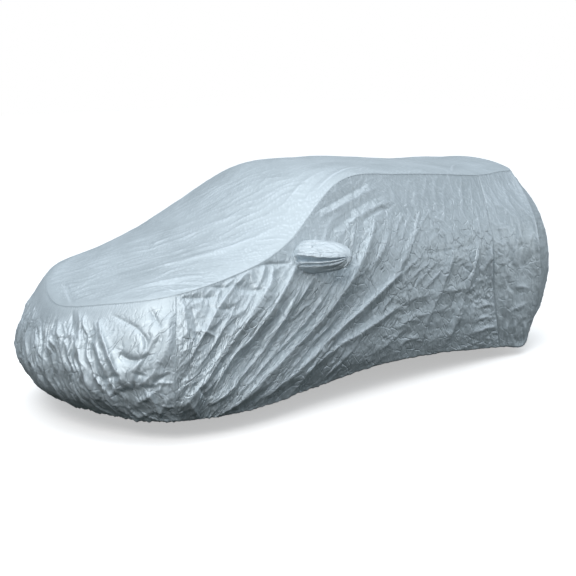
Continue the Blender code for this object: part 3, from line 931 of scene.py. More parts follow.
class ClothNodes:
    """The nodes of a coated cloth while they are put together, on the sheet's own flat maps."""

    def __init__(self, tree: Tree) -> None:
        """Start in a tree, with the cloth's flat map and how crinkled it is."""
        self.tree = tree
        self.cut = self.flat_map("cut")
        self.crinkled = add_node(tree, "ShaderNodeAttribute", {}, attribute_name="crinkle").outputs["Fac"]

    def flat_map(self, name: str) -> Socket:
        """Read one of the sheet's flat maps."""
        return add_node(self.tree, "ShaderNodeUVMap", {}, uv_map=name).outputs["UV"]

    def noise(self, size: float, detail: float, rough: float = 0.5, warp: float = 0.0) -> Node:
        """Add noise on the cloth's own flat sizes.

        Args:
            size: how wide its blots are, in metres.
            detail: how many finer copies it has.
            rough: how strong those are.
            warp: how far it is distorted.

        Returns:
            The noise node.
        """
        values = {"Vector": self.cut, "Scale": 1 / size, "Detail": detail, "Roughness": rough, "Distortion": warp}
        return add_node(self.tree, "ShaderNodeTexNoise", values, noise_dimensions="2D")

    def bump(self, height: Socket, depth: float,
             below: Socket | None) -> Socket:
        """Add a bump of a real depth on top of the one below it.

        Args:
            height: the bump's height, from 0 to 1.
            depth: its depth in metres.
            below: the normal that it lies on.

        Returns:
            The bumped normal.
        """
        values = {"Strength": self.crinkled, "Distance": depth, "Height": height}
        if below is not None:
            values["Normal"] = below
        return add_node(self.tree, "ShaderNodeBump", values).outputs["Normal"]

    def reckon(self, sign: str, first: Socket, second: Socket | float,
               clamp: bool = False) -> Socket:
        """Add one sum.

        Args:
            sign: Blender's name for the sum.
            first: its first term.
            second: its second term.
            clamp: whether the result is kept between 0 and 1.

        Returns:
            The result.
        """
        terms = {0: first, 1: second}
        return add_node(self.tree, "ShaderNodeMath", terms, operation=sign, use_clamp=clamp).outputs[0]

    def spread(self, value: Socket, low: float, high: float, to: Spot) -> Socket:
        """Change a value's range.

        Args:
            value: the value.
            low: the value that becomes the first of to.
            high: the value that becomes the second of to.
            to: the new range.

        Returns:
            The value in its new range.
        """
        values = {"Value": value, "From Min": low, "From Max": high, "To Min": to[0], "To Max": to[1]}
        return add_node(self.tree, "ShaderNodeMapRange", values).outputs["Result"]

    def creases(self, crinkles: Crinkles) -> Socket:
        """Add a net of thin crisp creases that comes and goes in patches.

        Args:
            crinkles: the net.

        Returns:
            A height: 0 between the creases, -1 along one in the middle of a patch.
        """
        flat = self.flat_map(crinkles.flat_map)
        bend = (crinkles.bend, crinkles.bend, 0)
        bent = self.noise(crinkles.bend_size, 1).outputs["Color"]
        moved = add_node(self.tree, "ShaderNodeVectorMath", {0: bent, 1: bend, 2: flat}, operation="MULTIPLY_ADD")
        sized = add_node(self.tree, "ShaderNodeVectorMath", {0: moved.outputs["Vector"], 1: (*crinkles.cells, 1)},
                         operation="MULTIPLY")
        net = add_node(self.tree, "ShaderNodeTexVoronoi", {"Scale": 1.0, "Vector": sized.outputs["Vector"]},
                       voronoi_dimensions="2D", feature="DISTANCE_TO_EDGE")
        flank = self.spread(net.outputs["Distance"], 0.0, crinkles.width, (1.0, 0.0))
        patch = self.spread(self.noise(crinkles.patches, 2).outputs["Fac"], 0.38, 0.56, (0.0, 1.0))
        return self.reckon("MULTIPLY", self.reckon("MULTIPLY", flank, patch), -1.0)


@dataclass(frozen=True)
class CoatedCloth:
    """Woven cloth with a silver coat: satin and crinkled, with a painted highlight that makes it paler along its
    outward crests.
    """

    name: str
    pale: Place = (0.65, 0.72, 0.765)
    dull: Place = (0.48, 0.545, 0.575)
    metallic: float = 0.52
    sheen: float = 0.08
    smoothest: float = 0.46
    roughest: float = 0.60
    crinkles: tuple[Crinkles, ...] = (
        Crinkles("grain", (9.0, 2.0), 0.08, 0.11, 1.0),
        Crinkles("grain", (24.0, 6.0), 0.13, 0.07, 0.6),
        Crinkles("cut", (15.0, 11.0), 0.09, 0.13, 0.8),
    )
    crinkle_depth: float = 0.0040
    facet: float = 0.045
    facet_depth: float = 0.0022
    weave: float = 0.0012
    weave_depth: float = 0.00006
    blotch: float = 0.35
    mottling: float = 0.7
    # Painted highlight: how much paler the colour is made along the cloth's outward crests.
    crest_highlight: float = 0.75

    def material(self) -> Material:
        """Build the material.

        Returns:
            The material, which reads the sheet's flat maps, crests and crinkles.
        """
        material, tree = new_material(self.name)
        cloth = ClothNodes(tree)
        normal = None
        for crinkles in self.crinkles:
            normal = cloth.bump(cloth.creases(crinkles), self.crinkle_depth * crinkles.depth, normal)
        normal = cloth.bump(cloth.noise(self.facet, 1, 0.5, 1.0).outputs["Fac"], self.facet_depth, normal)
        threads = add_node(tree, "ShaderNodeTexChecker", {"Scale": 1 / self.weave, "Vector": cloth.cut})
        normal = cloth.bump(threads.outputs["Fac"], self.weave_depth, normal)
        blotch = cloth.noise(self.blotch, 3, 0.6, 0.4).outputs["Fac"]
        # Painted highlight: the base colour is mixed paler along the outward crests, on top of the random
        # mottling.
        crest = add_node(tree, "ShaderNodeAttribute", {}, attribute_name="crest").outputs["Fac"]
        painted_highlight = cloth.spread(crest, 0.0, 1.0, (0.0, self.crest_highlight))
        mottling_and_highlight = cloth.reckon("ADD", cloth.reckon("MULTIPLY", blotch, self.mottling), painted_highlight, clamp=True)
        factor, first, second, colour = 0, 6, 7, 2
        tones = {factor: mottling_and_highlight, first: (*self.dull, 1), second: (*self.pale, 1)}
        tone = add_node(tree, "ShaderNodeMix", tones, data_type="RGBA")
        feed(tree, tree.nodes["Principled BSDF"], {
            "Metallic": self.metallic,
            "Sheen Weight": self.sheen,
            "Base Color": tone.outputs[colour],
            "Roughness": cloth.spread(blotch, 0.3, 0.7, (self.smoothest, self.roughest)),
            "Normal": normal,
        })
        return material


@dataclass(frozen=True)
class InnerFace:
    """The bare, dull inner face of the cloth."""

    name: str = "inner_face"
    colour: Place = (0.36, 0.38, 0.39)
    roughness: float = 0.75
    grain: float = 300.0
    grain_depth: float = 0.0003

    def material(self) -> Material:
        """Build the material.

        Returns:
            The material.
        """
        material, tree = new_material(self.name)
        cloth = add_node(tree, "ShaderNodeUVMap", {}, uv_map="cut")
        grain = add_node(tree, "ShaderNodeTexNoise", {"Scale": self.grain, "Vector": cloth.outputs["UV"]})
        bump = add_node(tree, "ShaderNodeBump", {"Distance": self.grain_depth, "Height": grain.outputs["Fac"]})
        feed(tree, tree.nodes["Principled BSDF"], {
            "Base Color": (*self.colour, 1), "Roughness": self.roughness, "Normal": bump.outputs["Normal"],
        })
        return material


@dataclass(frozen=True)
class Thread:
    """Pale polyester sewing thread."""

    name: str = "thread"
    colour: Place = (0.40, 0.43, 0.45)
    roughness: float = 0.6
    sheen: float = 0.3
    twist: float = 900.0
    twist_depth: float = 0.0002

    def material(self) -> Material:
        """Build the material.

        Returns:
            The material.
        """
        material, tree = new_material(self.name)
        place = add_node(tree, "ShaderNodeTexCoord", {})
        twist = add_node(tree, "ShaderNodeTexWave", {"Scale": self.twist, "Vector": place.outputs["Object"]},
                         bands_direction="DIAGONAL")
        bump = add_node(tree, "ShaderNodeBump", {"Distance": self.twist_depth, "Height": twist.outputs["Fac"]})
        feed(tree, tree.nodes["Principled BSDF"], {
            "Base Color": (*self.colour, 1), "Roughness": self.roughness, "Sheen Weight": self.sheen,
            "Normal": bump.outputs["Normal"],
        })
        return material


class Slack(NamedTuple):
    """Extra cloth along one axis, so that its folds run square to it: a share before start and one after end."""

    axis: Place
    start: float
    end: float
    before: float
    after: float


@dataclass(frozen=True)
class Settling:
    """Blender's cloth, which lets a panel's slack out into small folds of its own round the listed ones.

    The cloth starts longer than it is worn, by its slack, and its sewn edges are then drawn in to their places.
    """

    slacks: tuple[Slack, ...] = ()
    girth: float = 0.0
    hold: float = 0.01
    mass: float = 0.15
    bending: float = 2.0
    stretching: float = 15.0
    calm_reach: float = 0.25
    calm_hold: float = 0.5
    calm_levels: int = 8
    air_damping: float = 5.0
    steps: int = 3
    drawn_in_by: int = 7
    frames: int = 14
    lowest: float = -0.012
    highest: float = 0.070

    def loosened(self, worn: Array) -> Array:
        """Lay the cloth out with its slack.

        Args:
            worn: the panel's points as they are worn, rows by columns.

        Returns:
            The points of the longer cloth.
        """
        middle = worn.reshape(-1, 3).mean(axis=0)
        loose = worn + (worn - middle) * (1, 1, 0) * self.girth
        for slack in self.slacks:
            axis = unit(np.array(slack.axis, float))
            place = worn @ axis
            marks = np.linspace(place.min(), place.max(), 200)
            ease = smooth_step((marks - slack.start) / (slack.end - slack.start))
            share = slack.before + (slack.after - slack.before) * ease
            shift = np.cumsum(share) * (marks[1] - marks[0])
            loose = loose + np.interp(place, marks, shift - shift.mean())[..., None] * axis
        return loose

    def loose_cloth(self, worn: Array, faces: Array) -> Piece:
        """Make the loose cloth, with a shape key that draws it in.

        Args:
            worn: the panel's points as they are worn, rows by columns.
            faces: its cells' point numbers.

        Returns:
            The cloth's object.
        """
        mesh = bpy.data.meshes.new("loose_cloth")
        mesh.from_pydata(self.loosened(worn).reshape(-1, 3).tolist(), [], faces.tolist())
        cloth = bpy.data.objects.new("loose_cloth", mesh)
        bpy.context.scene.collection.objects.link(cloth)
        cloth.shape_key_add(name="loose")
        key = cloth.shape_key_add(name="worn")
        key.data.foreach_set("co", worn.astype(np.float32).ravel())
        for number, value in ((1, 0.0), (self.drawn_in_by, 1.0)):
            key.value = value
            key.keyframe_insert("value", frame=number)
        return cloth

    def add_cloth(self, cloth: Piece, sewn: Array, down: Array) -> None:
        """Add the simulation.

        Args:
            cloth: the loose cloth.
            sewn: True for every point that follows the shape key.
            down: how far each point hangs below the shoulder seam; the cloth is calm just under it.
        """
        pins = cloth.vertex_groups.new(name="held")
        level = np.ceil(self.calm_levels * (1 - smooth_step(down / self.calm_reach))).astype(int)
        for step in range(self.calm_levels + 1):
            chosen = np.flatnonzero(~sewn & (level == step))
            pins.add(chosen.tolist(), self.hold + self.calm_hold * step / self.calm_levels, "REPLACE")
        pins.add(np.flatnonzero(sewn).tolist(), 1.0, "REPLACE")
        modifier = cloth.modifiers.new("cloth", "CLOTH")
        modifier.point_cache.frame_end = self.frames
        modifier.collision_settings.use_collision = False
        settings = modifier.settings
        settings.quality = self.steps
        settings.mass = self.mass
        settings.tension_stiffness = self.stretching
        settings.compression_stiffness = self.stretching
        settings.shear_stiffness = self.stretching / 3
        settings.bending_stiffness = self.bending
        settings.air_damping = self.air_damping
        settings.vertex_group_mass = pins.name
        settings.effector_weights.gravity = 0.0

    def settle(self, worn: Array, faces: Array, sewn: Array, down: Array) -> Array:
        """Let the slack out.

        Args:
            worn: the panel's points as they are worn, rows by columns.
            faces: its cells' point numbers.
            sewn: True for every point that ends where it is worn.
            down: how far each point hangs below the shoulder seam.

        Returns:
            The settled points.
        """
        cloth = self.loose_cloth(worn, faces)
        self.add_cloth(cloth, sewn.ravel(), down.ravel())
        scene = bpy.context.scene
        for number in range(1, self.frames + 1):
            scene.frame_set(number)
        settled = cloth.evaluated_get(bpy.context.evaluated_depsgraph_get()).to_mesh()
        points = np.empty(len(settled.vertices) * 3, np.float32)
        settled.vertices.foreach_get("co", points)
        bpy.data.meshes.remove(cloth.data)
        scene.frame_set(1)
        return points.reshape(worn.shape).astype(float)


class Skin(NamedTuple):
    """The outer face of a sheet, and what its material reads: two flat maps in metres, and its crests.

    Cut is where each point lies on the flat cloth. Grain runs with the folds, its second place along them.
    """

    points: Array
    faces: list[list[int]]
    cut: Array
    grain: Array
    crest: Array
    crinkle: Array


def node_tree(name: str, sizes: dict[str, float]) -> tuple[Tree, bpy.types.NodeOutputs]:
    """Start a Geometry Nodes tree with a geometry, a size for each name, and a material as its inputs.

    Args:
        name: the tree's name.
        sizes: each size input's name and value, in metres.

    Returns:
        The tree and what its input node gives.
    """
    tree = bpy.data.node_groups.new(name, "GeometryNodeTree")
    tree.interface.new_socket("Geometry", in_out="INPUT", socket_type="NodeSocketGeometry")
    for size, value in sizes.items():
        socket = tree.interface.new_socket(size, in_out="INPUT", socket_type="NodeSocketFloat")
        socket.default_value = value
    tree.interface.new_socket("Material", in_out="INPUT", socket_type="NodeSocketMaterial")
    tree.interface.new_socket("Geometry", in_out="OUTPUT", socket_type="NodeSocketGeometry")
    return tree, tree.nodes.new("NodeGroupInput").outputs


def stepped_line(tree: Tree, line: Socket,
                 step: Socket) -> Socket:
    """Turn lines of edges into curves with even steps.

    Args:
        tree: the tree.
        line: the edges.
        step: the length of a step.

    Returns:
        The curves.
    """
    curve = add_node(tree, "GeometryNodeMeshToCurve", {"Mesh": line})
    values = {"Curve": curve.outputs["Curve"], "Length": step}
    return add_node(tree, "GeometryNodeResampleCurve", values, mode="LENGTH").outputs["Curve"]


def end_tree(tree: Tree, shape: Socket, material: Socket) -> None:
    """End a tree with plain geometry and its material.

    Args:
        tree: the tree.
        shape: what it made.
        material: what that is made of.
    """
    real = add_node(tree, "GeometryNodeRealizeInstances", {"Geometry": shape})
    values = {"Geometry": real.outputs["Geometry"], "Material": material}
    paint = add_node(tree, "GeometryNodeSetMaterial", values)
    add_node(tree, "NodeGroupOutput", {"Geometry": paint.outputs["Geometry"]})


def laid_along(name: str, tree: Tree, lines: list[tuple[Array, Array]], sizes: dict[str, float],
               material: Material) -> Piece:
    """Run a Geometry Nodes tree on lines and keep its result as a plain mesh.

    Args:
        name: the object's name.
        tree: the tree from node_tree.
        lines: points of each line and the cloth's outward normals there.
        sizes: what each size input is set to.
        material: what it is made of.

    Returns:
        The object, with no modifier left.
    """
    points = np.concatenate([line for line, _ in lines]) - ORIGIN
    starts = np.cumsum([0] + [len(line) for line, _ in lines])
    edges = np.concatenate([np.stack([np.arange(a, b - 1), np.arange(a + 1, b)], axis=-1)
                            for a, b in zip(starts[:-1], starts[1:])])
    mesh = bpy.data.meshes.new(name)
    mesh.from_pydata(points.tolist(), edges.tolist(), [])
    out = np.concatenate([normals for _, normals in lines]).astype(np.float32)
    mesh.attributes.new("out", "FLOAT_VECTOR", "POINT").data.foreach_set("vector", out.ravel())
    piece = bpy.data.objects.new(name, mesh)
    bpy.context.scene.collection.objects.link(piece)
    modifier = piece.modifiers.new(name, "NODES")
    modifier.node_group = tree
    given = {**sizes, "Material": material}
    for item in tree.interface.items_tree:
        if item.in_out == "INPUT" and item.name in given:
            modifier[item.identifier] = given[item.name]
    depsgraph = bpy.context.evaluated_depsgraph_get()
    made = bpy.data.meshes.new_from_object(piece.evaluated_get(depsgraph), depsgraph=depsgraph)
    piece.modifiers.clear()
    piece.data = made
    return piece


@dataclass(frozen=True)
class Stitching:
    """Lock stitches along the seams and the hem, laid by Geometry Nodes."""

    pitch: float = 0.0075
    length: float = 0.0054
    width: float = 0.0013
    seam_away: float = 0.0065
    hem_away: float = 0.026
    lifted: float = 0.0003
    shortest: float = 0.85
    longest: float = 1.1
    seed: int = 5

    @property
    def sizes(self) -> dict[str, float]:
        """The sizes that the tree takes as inputs."""
        return {"Pitch": self.pitch, "Length": self.length, "Width": self.width}

    def tree(self) -> Tree:
        """Build the tree that sets one stitch at each step along its lines.

        Returns:
            The tree.
        """
        tree, given = node_tree("stitches", self.sizes)
        steps = stepped_line(tree, given["Geometry"], given["Pitch"])
        stitch = add_node(tree, "GeometryNodeMeshUVSphere", {"Segments": 4, "Rings": 3, "Radius": 0.5})
        width = given["Width"]
        size = add_node(tree, "ShaderNodeCombineXYZ", {"X": given["Length"], "Y": width, "Z": width})
        uneven = add_node(tree, "FunctionNodeRandomValue", {}, data_type="FLOAT")
        feed(tree, uneven, {"Min": self.shortest, "Max": self.longest, "Seed": self.seed})
        scale = add_node(tree, "ShaderNodeVectorMath", {}, operation="SCALE")
        feed(tree, scale, {0: size.outputs["Vector"], "Scale": uneven.outputs["Value"]})
        run = add_node(tree, "GeometryNodeInputTangent", {})
        out = add_node(tree, "GeometryNodeInputNamedAttribute", {"Name": "out"}, data_type="FLOAT_VECTOR")
        turned = add_node(tree, "FunctionNodeAlignRotationToVector", {"Vector": run.outputs["Tangent"]}, axis="X")
        upright = add_node(tree, "FunctionNodeAlignRotationToVector", {
            "Rotation": turned.outputs["Rotation"], "Vector": out.outputs["Attribute"],
        }, axis="Z", pivot_axis="X")
        place = add_node(tree, "GeometryNodeInstanceOnPoints", {
            "Points": steps, "Instance": stitch.outputs["Mesh"], "Rotation": upright.outputs["Rotation"],
            "Scale": scale.outputs["Vector"],
        })
        end_tree(tree, place.outputs["Instances"], given["Material"])
        return tree

    def sewn(self, name: str, lines: list[tuple[Array, Array]], thread: Material) -> Piece:
        """Sew along the lines.

        Args:
            name: the object's name.
            lines: points of each line and the cloth's outward normals there.
            thread: what the stitches are made of.

        Returns:
            The stitches' object.
        """
        raised = [(line + normals * self.lifted, normals) for line, normals in lines]
        return laid_along(name, self.tree(), raised, self.sizes, thread)


@dataclass(frozen=True)
class Welt:
    """The rolled edge of a closed seam, swept along it by Geometry Nodes."""

    radius: float = 0.0026
    step: float = 0.014
    sides: int = 8
    top_rise: float = 0.0012

    @property
    def sizes(self) -> dict[str, float]:
        """The sizes that the tree takes as inputs."""
        return {"Radius": self.radius, "Step": self.step}

    def tree(self) -> Tree:
        """Build the tree that sweeps a small round section along its lines.

        Returns:
            The tree.
        """
        tree, given = node_tree("welt", self.sizes)
        steps = stepped_line(tree, given["Geometry"], given["Step"])
        section = add_node(tree, "GeometryNodeCurvePrimitiveCircle", {
            "Resolution": self.sides, "Radius": given["Radius"],
        })
        sweep = add_node(tree, "GeometryNodeCurveToMesh", {
            "Curve": steps, "Profile Curve": section.outputs["Curve"], "Fill Caps": True,
        })
        end_tree(tree, sweep.outputs["Mesh"], given["Material"])
        return tree

    def lean(self, edge: str) -> Array:
        """How far the seam sits over a panel's edge; the one along the top lies between two that face apart."""
        return np.array((0.0, 0.0, self.top_rise if edge == "top" else 0.0))

    def rolled(self, name: str, lines: list[tuple[Array, Array]], cloth: Material) -> Piece:
        """Roll the seam along the lines.

        Args:
            name: the object's name.
            lines: points of each line and the cloth's outward normals there.
            cloth: what it is made of.

        Returns:
            The welt's object.
        """
        piece = laid_along(name, self.tree(), lines, self.sizes, cloth)
        piece.data.shade_smooth()
        return piece


class Finishes(NamedTuple):
    """The materials that the pieces are dressed in."""

    coat: Material
    inside: Material
    thread: Material


def line_at(outer: Array, normals: Array, away: Array, distance: float) -> tuple[Array, Array]:
    """Follow the cloth at one distance from its first row.

    Args:
        outer: the cloth's outer face, rows by columns.
        normals: its outward normals.
        away: distance of every point from the first row, growing down the rows.
        distance: how far from the first row the line runs.

    Returns:
        The line's points and the normals there, one for each column.
    """
    row = np.clip((away < distance).sum(axis=0) - 1, 0, len(away) - 2)
    col = np.arange(away.shape[1])
    part = np.clip((distance - away[row, col]) / (away[row + 1, col] - away[row, col]), 0.0, 1.0)[:, None]
    points = outer[row, col] * (1 - part) + outer[row + 1, col] * part
    return points, unit(normals[row, col] * (1 - part) + normals[row + 1, col] * part)


@dataclass
class Sheet:
    """One sewn piece of cloth, dressed as a thin sheet on its solid's surface."""

    node: str
    flat: tuple[float, float]
    held: str
    area: float | None = None
    thickness: float = 0.0012

    def mesh_object(self, skin: Skin) -> Piece:
        """Make the sheet's object and link it to the scene.

        Args:
            skin: its outer face.

        Returns:
            The object, still without thickness.
        """
        mesh = bpy.data.meshes.new(self.node + "_cloth")
        mesh.from_pydata((skin.points - ORIGIN).tolist(), [], skin.faces)
        corner = np.empty(len(mesh.loops), np.int32)
        mesh.loops.foreach_get("vertex_index", corner)
        for name, flat in (("cut", skin.cut), ("grain", skin.grain)):
            mesh.uv_layers.new(name=name).data.foreach_set("uv", flat[corner].astype(np.float32).ravel())
        for name, values in (("crest", skin.crest), ("crinkle", skin.crinkle)):
            mesh.attributes.new(name, "FLOAT", "POINT").data.foreach_set("value", values.astype(np.float32))
        mesh.shade_smooth()
        sheet = bpy.data.objects.new(self.node + "_cloth", mesh)
        bpy.context.scene.collection.objects.link(sheet)
        return sheet

    def dress(self, sheet: Piece, finishes: Finishes, sewing: list[Piece]) -> None:
        """Args:
            sheet: the sheet's object.
            finishes: the materials.
            sewing: its stitches and welt.
        """
        sheet.data.materials.append(finishes.coat)
        sheet.data.materials.append(finishes.inside)
        for piece in sewing:
            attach(piece, BODY)
            log.info("%s: %d points", piece.name, len(piece.data.vertices))
        body = sheet.modifiers.new("thickness", "SOLIDIFY")
        body.thickness = self.thickness
        body.offset = -1.0
        body.material_offset = 1
        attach(sheet, BODY)
        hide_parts(self.node)
        log.info("%s: %d points", sheet.name, len(sheet.data.vertices))


@dataclass
class Panel(Sheet):
    """A panel cut as one grid of cloth."""

    reliefs: tuple[Relief, ...] = ()
    smooth_edges: frozenset[str] = frozenset()
    seam_fade: float = 0.035
    smooth_fade: float = 0.12
    crinkles: Spot = (1.0, 1.0)
    crinkle_reach: float = 0.20
    pucker_spacing: float = 0.022
    pucker_height: float = 0.0035
    pucker_length: float = 0.045
    shortest_pucker: float = 0.012
    pucker_start: float = 0.006
    pucker_change: float = 0.21
    sharpest_crest: float = 0.0012
    seed: int = 1
    settling: Settling | None = None
    stitching: Stitching = Stitching()
    welt: Welt = Welt()
    rolled_edges: tuple[str, ...] = ()
    hemmed: bool = False

    def smooth_grid(self) -> Array:
        """Points of the panel without its folds; each kind of panel has its own."""
        raise NotImplementedError

    def edge_distances(self, grid: Array) -> dict[str, tuple[Array, Array]]:
        """Measure the cloth from its sewn edges.

        Args:
            grid: the smooth panel.

        Returns:
            For each sewn edge, the distance from it and the distance along it, at every point.
        """
        down, along = run_length(grid, 0), run_length(grid, 1)
        return {
            "top": (down, along),
            "left": (along, down),
            "right": (run_length(grid[:, ::-1], 1)[:, ::-1], down),
        }

    def puckers(self, edges: dict[str, tuple[Array, Array]]) -> Array:
        """Raise the short wrinkles that a seam's thread draws up.

        Args:
            edges: what edge_distances gives.

        Returns:
            A height for every point.
        """
        height = 0.0
        for place, (name, (away, along)) in enumerate(edges.items()):
            if name in self.smooth_edges:
                continue
            noise = Noise(self.seed * 10 + place)
            flat = np.stack([along / self.pucker_spacing, away / 0.2 + 0.3], axis=-1)
            slow = np.stack([along / self.pucker_change, np.full_like(along, 0.5)], axis=-1)
            reach = self.pucker_length * (1 + 0.9 * noise.at(slow))
            strength = 0.75 + 0.9 * noise.at(slow + 9.0)
            rise = smooth_step(away / self.pucker_start)
            rise *= np.exp(-away / np.maximum(reach, self.shortest_pucker))
            height = height + self.pucker_height * strength * rise * (noise.crests(flat) - 0.25)
        return height

    def folded(self, grid: Array) -> Array:
        """Raise every fold on the panel.

        Args:
            grid: the smooth panel.

        Returns:
            The points of its outer face.
        """
        normals = grid_normals(grid)
        edges = self.edge_distances(grid)
        move = sum(relief.lift(grid, normals) for relief in self.reliefs)
        for name, (away, _) in edges.items():
            fade = self.smooth_fade if name in self.smooth_edges else self.seam_fade
            move = move * smooth_step(away / fade)[..., None]
        height = SOLID_CLOTH + self.puckers(edges)
        return grid + move + normals * height[..., None]

    def grain(self, grid: Array) -> Array:
        """Lay out the map that runs with the folds: across the columns, and down them."""
        across = np.linspace(0.0, run_length(grid, 1)[0, -1], grid.shape[1])
        return np.stack([np.broadcast_to(across, grid.shape[:2]), run_length(grid, 0)], axis=-1)

    def settled(self, grid: Array, outer: Array, faces: Array, keep: Array) -> Array:
        """Let the panel's slack out, and keep it near its solid.

        Args:
            grid: the smooth panel.
            outer: the folded panel.
            faces: its cells' point numbers.
            keep: which cells are cloth.

        Returns:
            The settled points of its outer face.
        """
        started = time.time()
        cells = sum(np.pad(keep, pad).astype(int) for pad in (((0, 1), (0, 1)), ((1, 0), (0, 1)),
                                                              ((0, 1), (1, 0)), ((1, 0), (1, 0))))
        settled = self.settling.settle(outer, faces, cells < 4, run_length(grid, 0))
        normals = grid_normals(grid)
        rise = ((settled - grid) * normals).sum(axis=-1)
        low, high = self.settling.lowest, self.settling.highest
        eased = np.where(rise < 0, low * np.tanh(rise / low), high * np.tanh(rise / high))
        log.info("%s settled in %.1f s", self.node, time.time() - started)
        return settled + normals * (eased - rise)[..., None]

    def sewing(self, grid: Array, outer: Array, finishes: Finishes) -> list[Piece]:
        """Sew the panel's edges.

        Args:
            grid: the smooth panel.
            outer: its outer face.
            finishes: the materials.

        Returns:
            The stitches, and the welt where this panel has one.
        """
        normals, seams, rolls = grid_normals(outer), [], []
        turned = {
            "top": lambda sheet: sheet,
            "bottom": lambda sheet: sheet[::-1],
            "left": lambda sheet: sheet.swapaxes(0, 1),
            "right": lambda sheet: sheet[:, ::-1].swapaxes(0, 1),
        }
        for edge, view in turned.items():
            hem = edge == "bottom" and self.hemmed
            distance = self.stitching.hem_away if hem else self.stitching.seam_away
            seams.append(line_at(view(outer), view(normals), run_length(view(grid), 0), distance))
            if edge in self.rolled_edges:
                rolls.append(((view(grid)[0] + view(outer)[0]) / 2 + self.welt.lean(edge), view(normals)[0]))
        pieces = [self.stitching.sewn(self.node + "_stitches", seams, finishes.thread)]
        if rolls:
            pieces.append(self.welt.rolled(self.node + "_welt", rolls, finishes.coat))
        return pieces

    def build(self, finishes: Finishes) -> Piece:
        """Build the panel.

        Args:
            finishes: the materials.

        Returns:
            The panel's object.
        """
        grid = self.smooth_grid()
        outer = self.folded(grid)
        rows, cols = outer.shape[:2]
        number = np.arange(rows * cols).reshape(rows, cols)
        cells = np.stack([number[:-1, :-1], number[1:, :-1], number[1:, 1:], number[:-1, 1:]], axis=-1)
        keep = self.kept_cells(rows - 1, cols - 1)
        if self.settling is not None:
            outer = self.settled(grid, outer, cells[keep], keep)
        used, faces = np.unique(cells[keep], return_inverse=True)
        cut = np.stack([run_length(grid, 1), -run_length(grid, 0)], axis=-1)
        top, low = self.crinkles
        crinkle = top + (low - top) * smooth_step(run_length(grid, 0) / self.crinkle_reach)
        skin = Skin(outer.reshape(-1, 3)[used], faces.reshape(-1, 4).tolist(), cut.reshape(-1, 2)[used],
                    self.grain(grid).reshape(-1, 2)[used], self.crests(outer).ravel()[used],
                    crinkle.ravel()[used])
        sheet = self.mesh_object(skin)
        self.dress(sheet, finishes, self.sewing(grid, outer, finishes))
        return sheet

    def kept_cells(self, rows: int, cols: int) -> Array:
        """Mark the cells that are cloth; a panel with an opening leaves some out."""
        return np.ones((rows, cols), bool)

    def crests(self, outer: Array) -> Array:
        """Find where the cloth is creased outwards.

        Args:
            outer: the folded panel.

        Returns:
            0 on flat or hollow cloth, up to 1 along a sharp crest.
        """
        middle = (outer[:-2, 1:-1] + outer[2:, 1:-1] + outer[1:-1, :-2] + outer[1:-1, 2:]) / 4
        bulge = ((outer[1:-1, 1:-1] - middle) * grid_normals(outer)[1:-1, 1:-1]).sum(axis=-1)
        return np.pad(np.clip(bulge / self.sharpest_crest, 0.0, 1.0), 1)


@dataclass
class TopPanel(Panel):
    """The top panel: it covers everything above the shoulder seam."""

    form: CoverForm = field(default_factory=CoverForm)
    rows: int = 330
    cols: int = 130
    pull_angle: float = -30.0
    nose_reach: float = 0.085
    nose_rise: float = 0.0105
    side_ease: float = 0.25

    def smooth_grid(self) -> Array:
        """Points of the panel without its folds."""
        first, last = self.form.number("front_seam"), self.form.number("rear_corner")
        return self.form.top(np.linspace(first, last, self.rows + 1), self.cols)

    def folded(self, grid: Array) -> Array:
        """Raise every fold on the panel, and round it off over the nose.

        Args:
            grid: the smooth panel.

        Returns:
            The points of its outer face.
        """
        sides = np.minimum(run_length(grid, 1), run_length(grid[:, ::-1], 1)[:, ::-1])
        rise = self.nose_rise * rounded(run_length(grid, 0), self.nose_reach)
        rise *= smooth_step(sides / self.side_ease)
        return super().folded(grid) + grid_normals(grid) * rise[..., None]

    def grain(self, grid: Array) -> Array:
        """Lay out the map that runs with the pull lines, which cross the panel at an angle.

        Args:
            grid: the smooth panel.

        Returns:
            Two places in metres for each point, the second along the lines.
        """
        angle = math.radians(self.pull_angle)
        along = grid[..., 0] * math.cos(angle) + grid[..., 1] * math.sin(angle)
        return np.stack([grid[..., 1] * math.cos(angle) - grid[..., 0] * math.sin(angle), along], axis=-1)

    def edge_distances(self, grid: Array) -> dict[str, tuple[Array, Array]]:
        """Measure the cloth from all four edges.

        Args:
            grid: the smooth panel.

        Returns:
            What Panel.edge_distances gives, and the same for the bottom edge.
        """
        edges = super().edge_distances(grid)
        edges["bottom"] = (run_length(grid[::-1], 0)[::-1], run_length(grid, 1))
        return edges


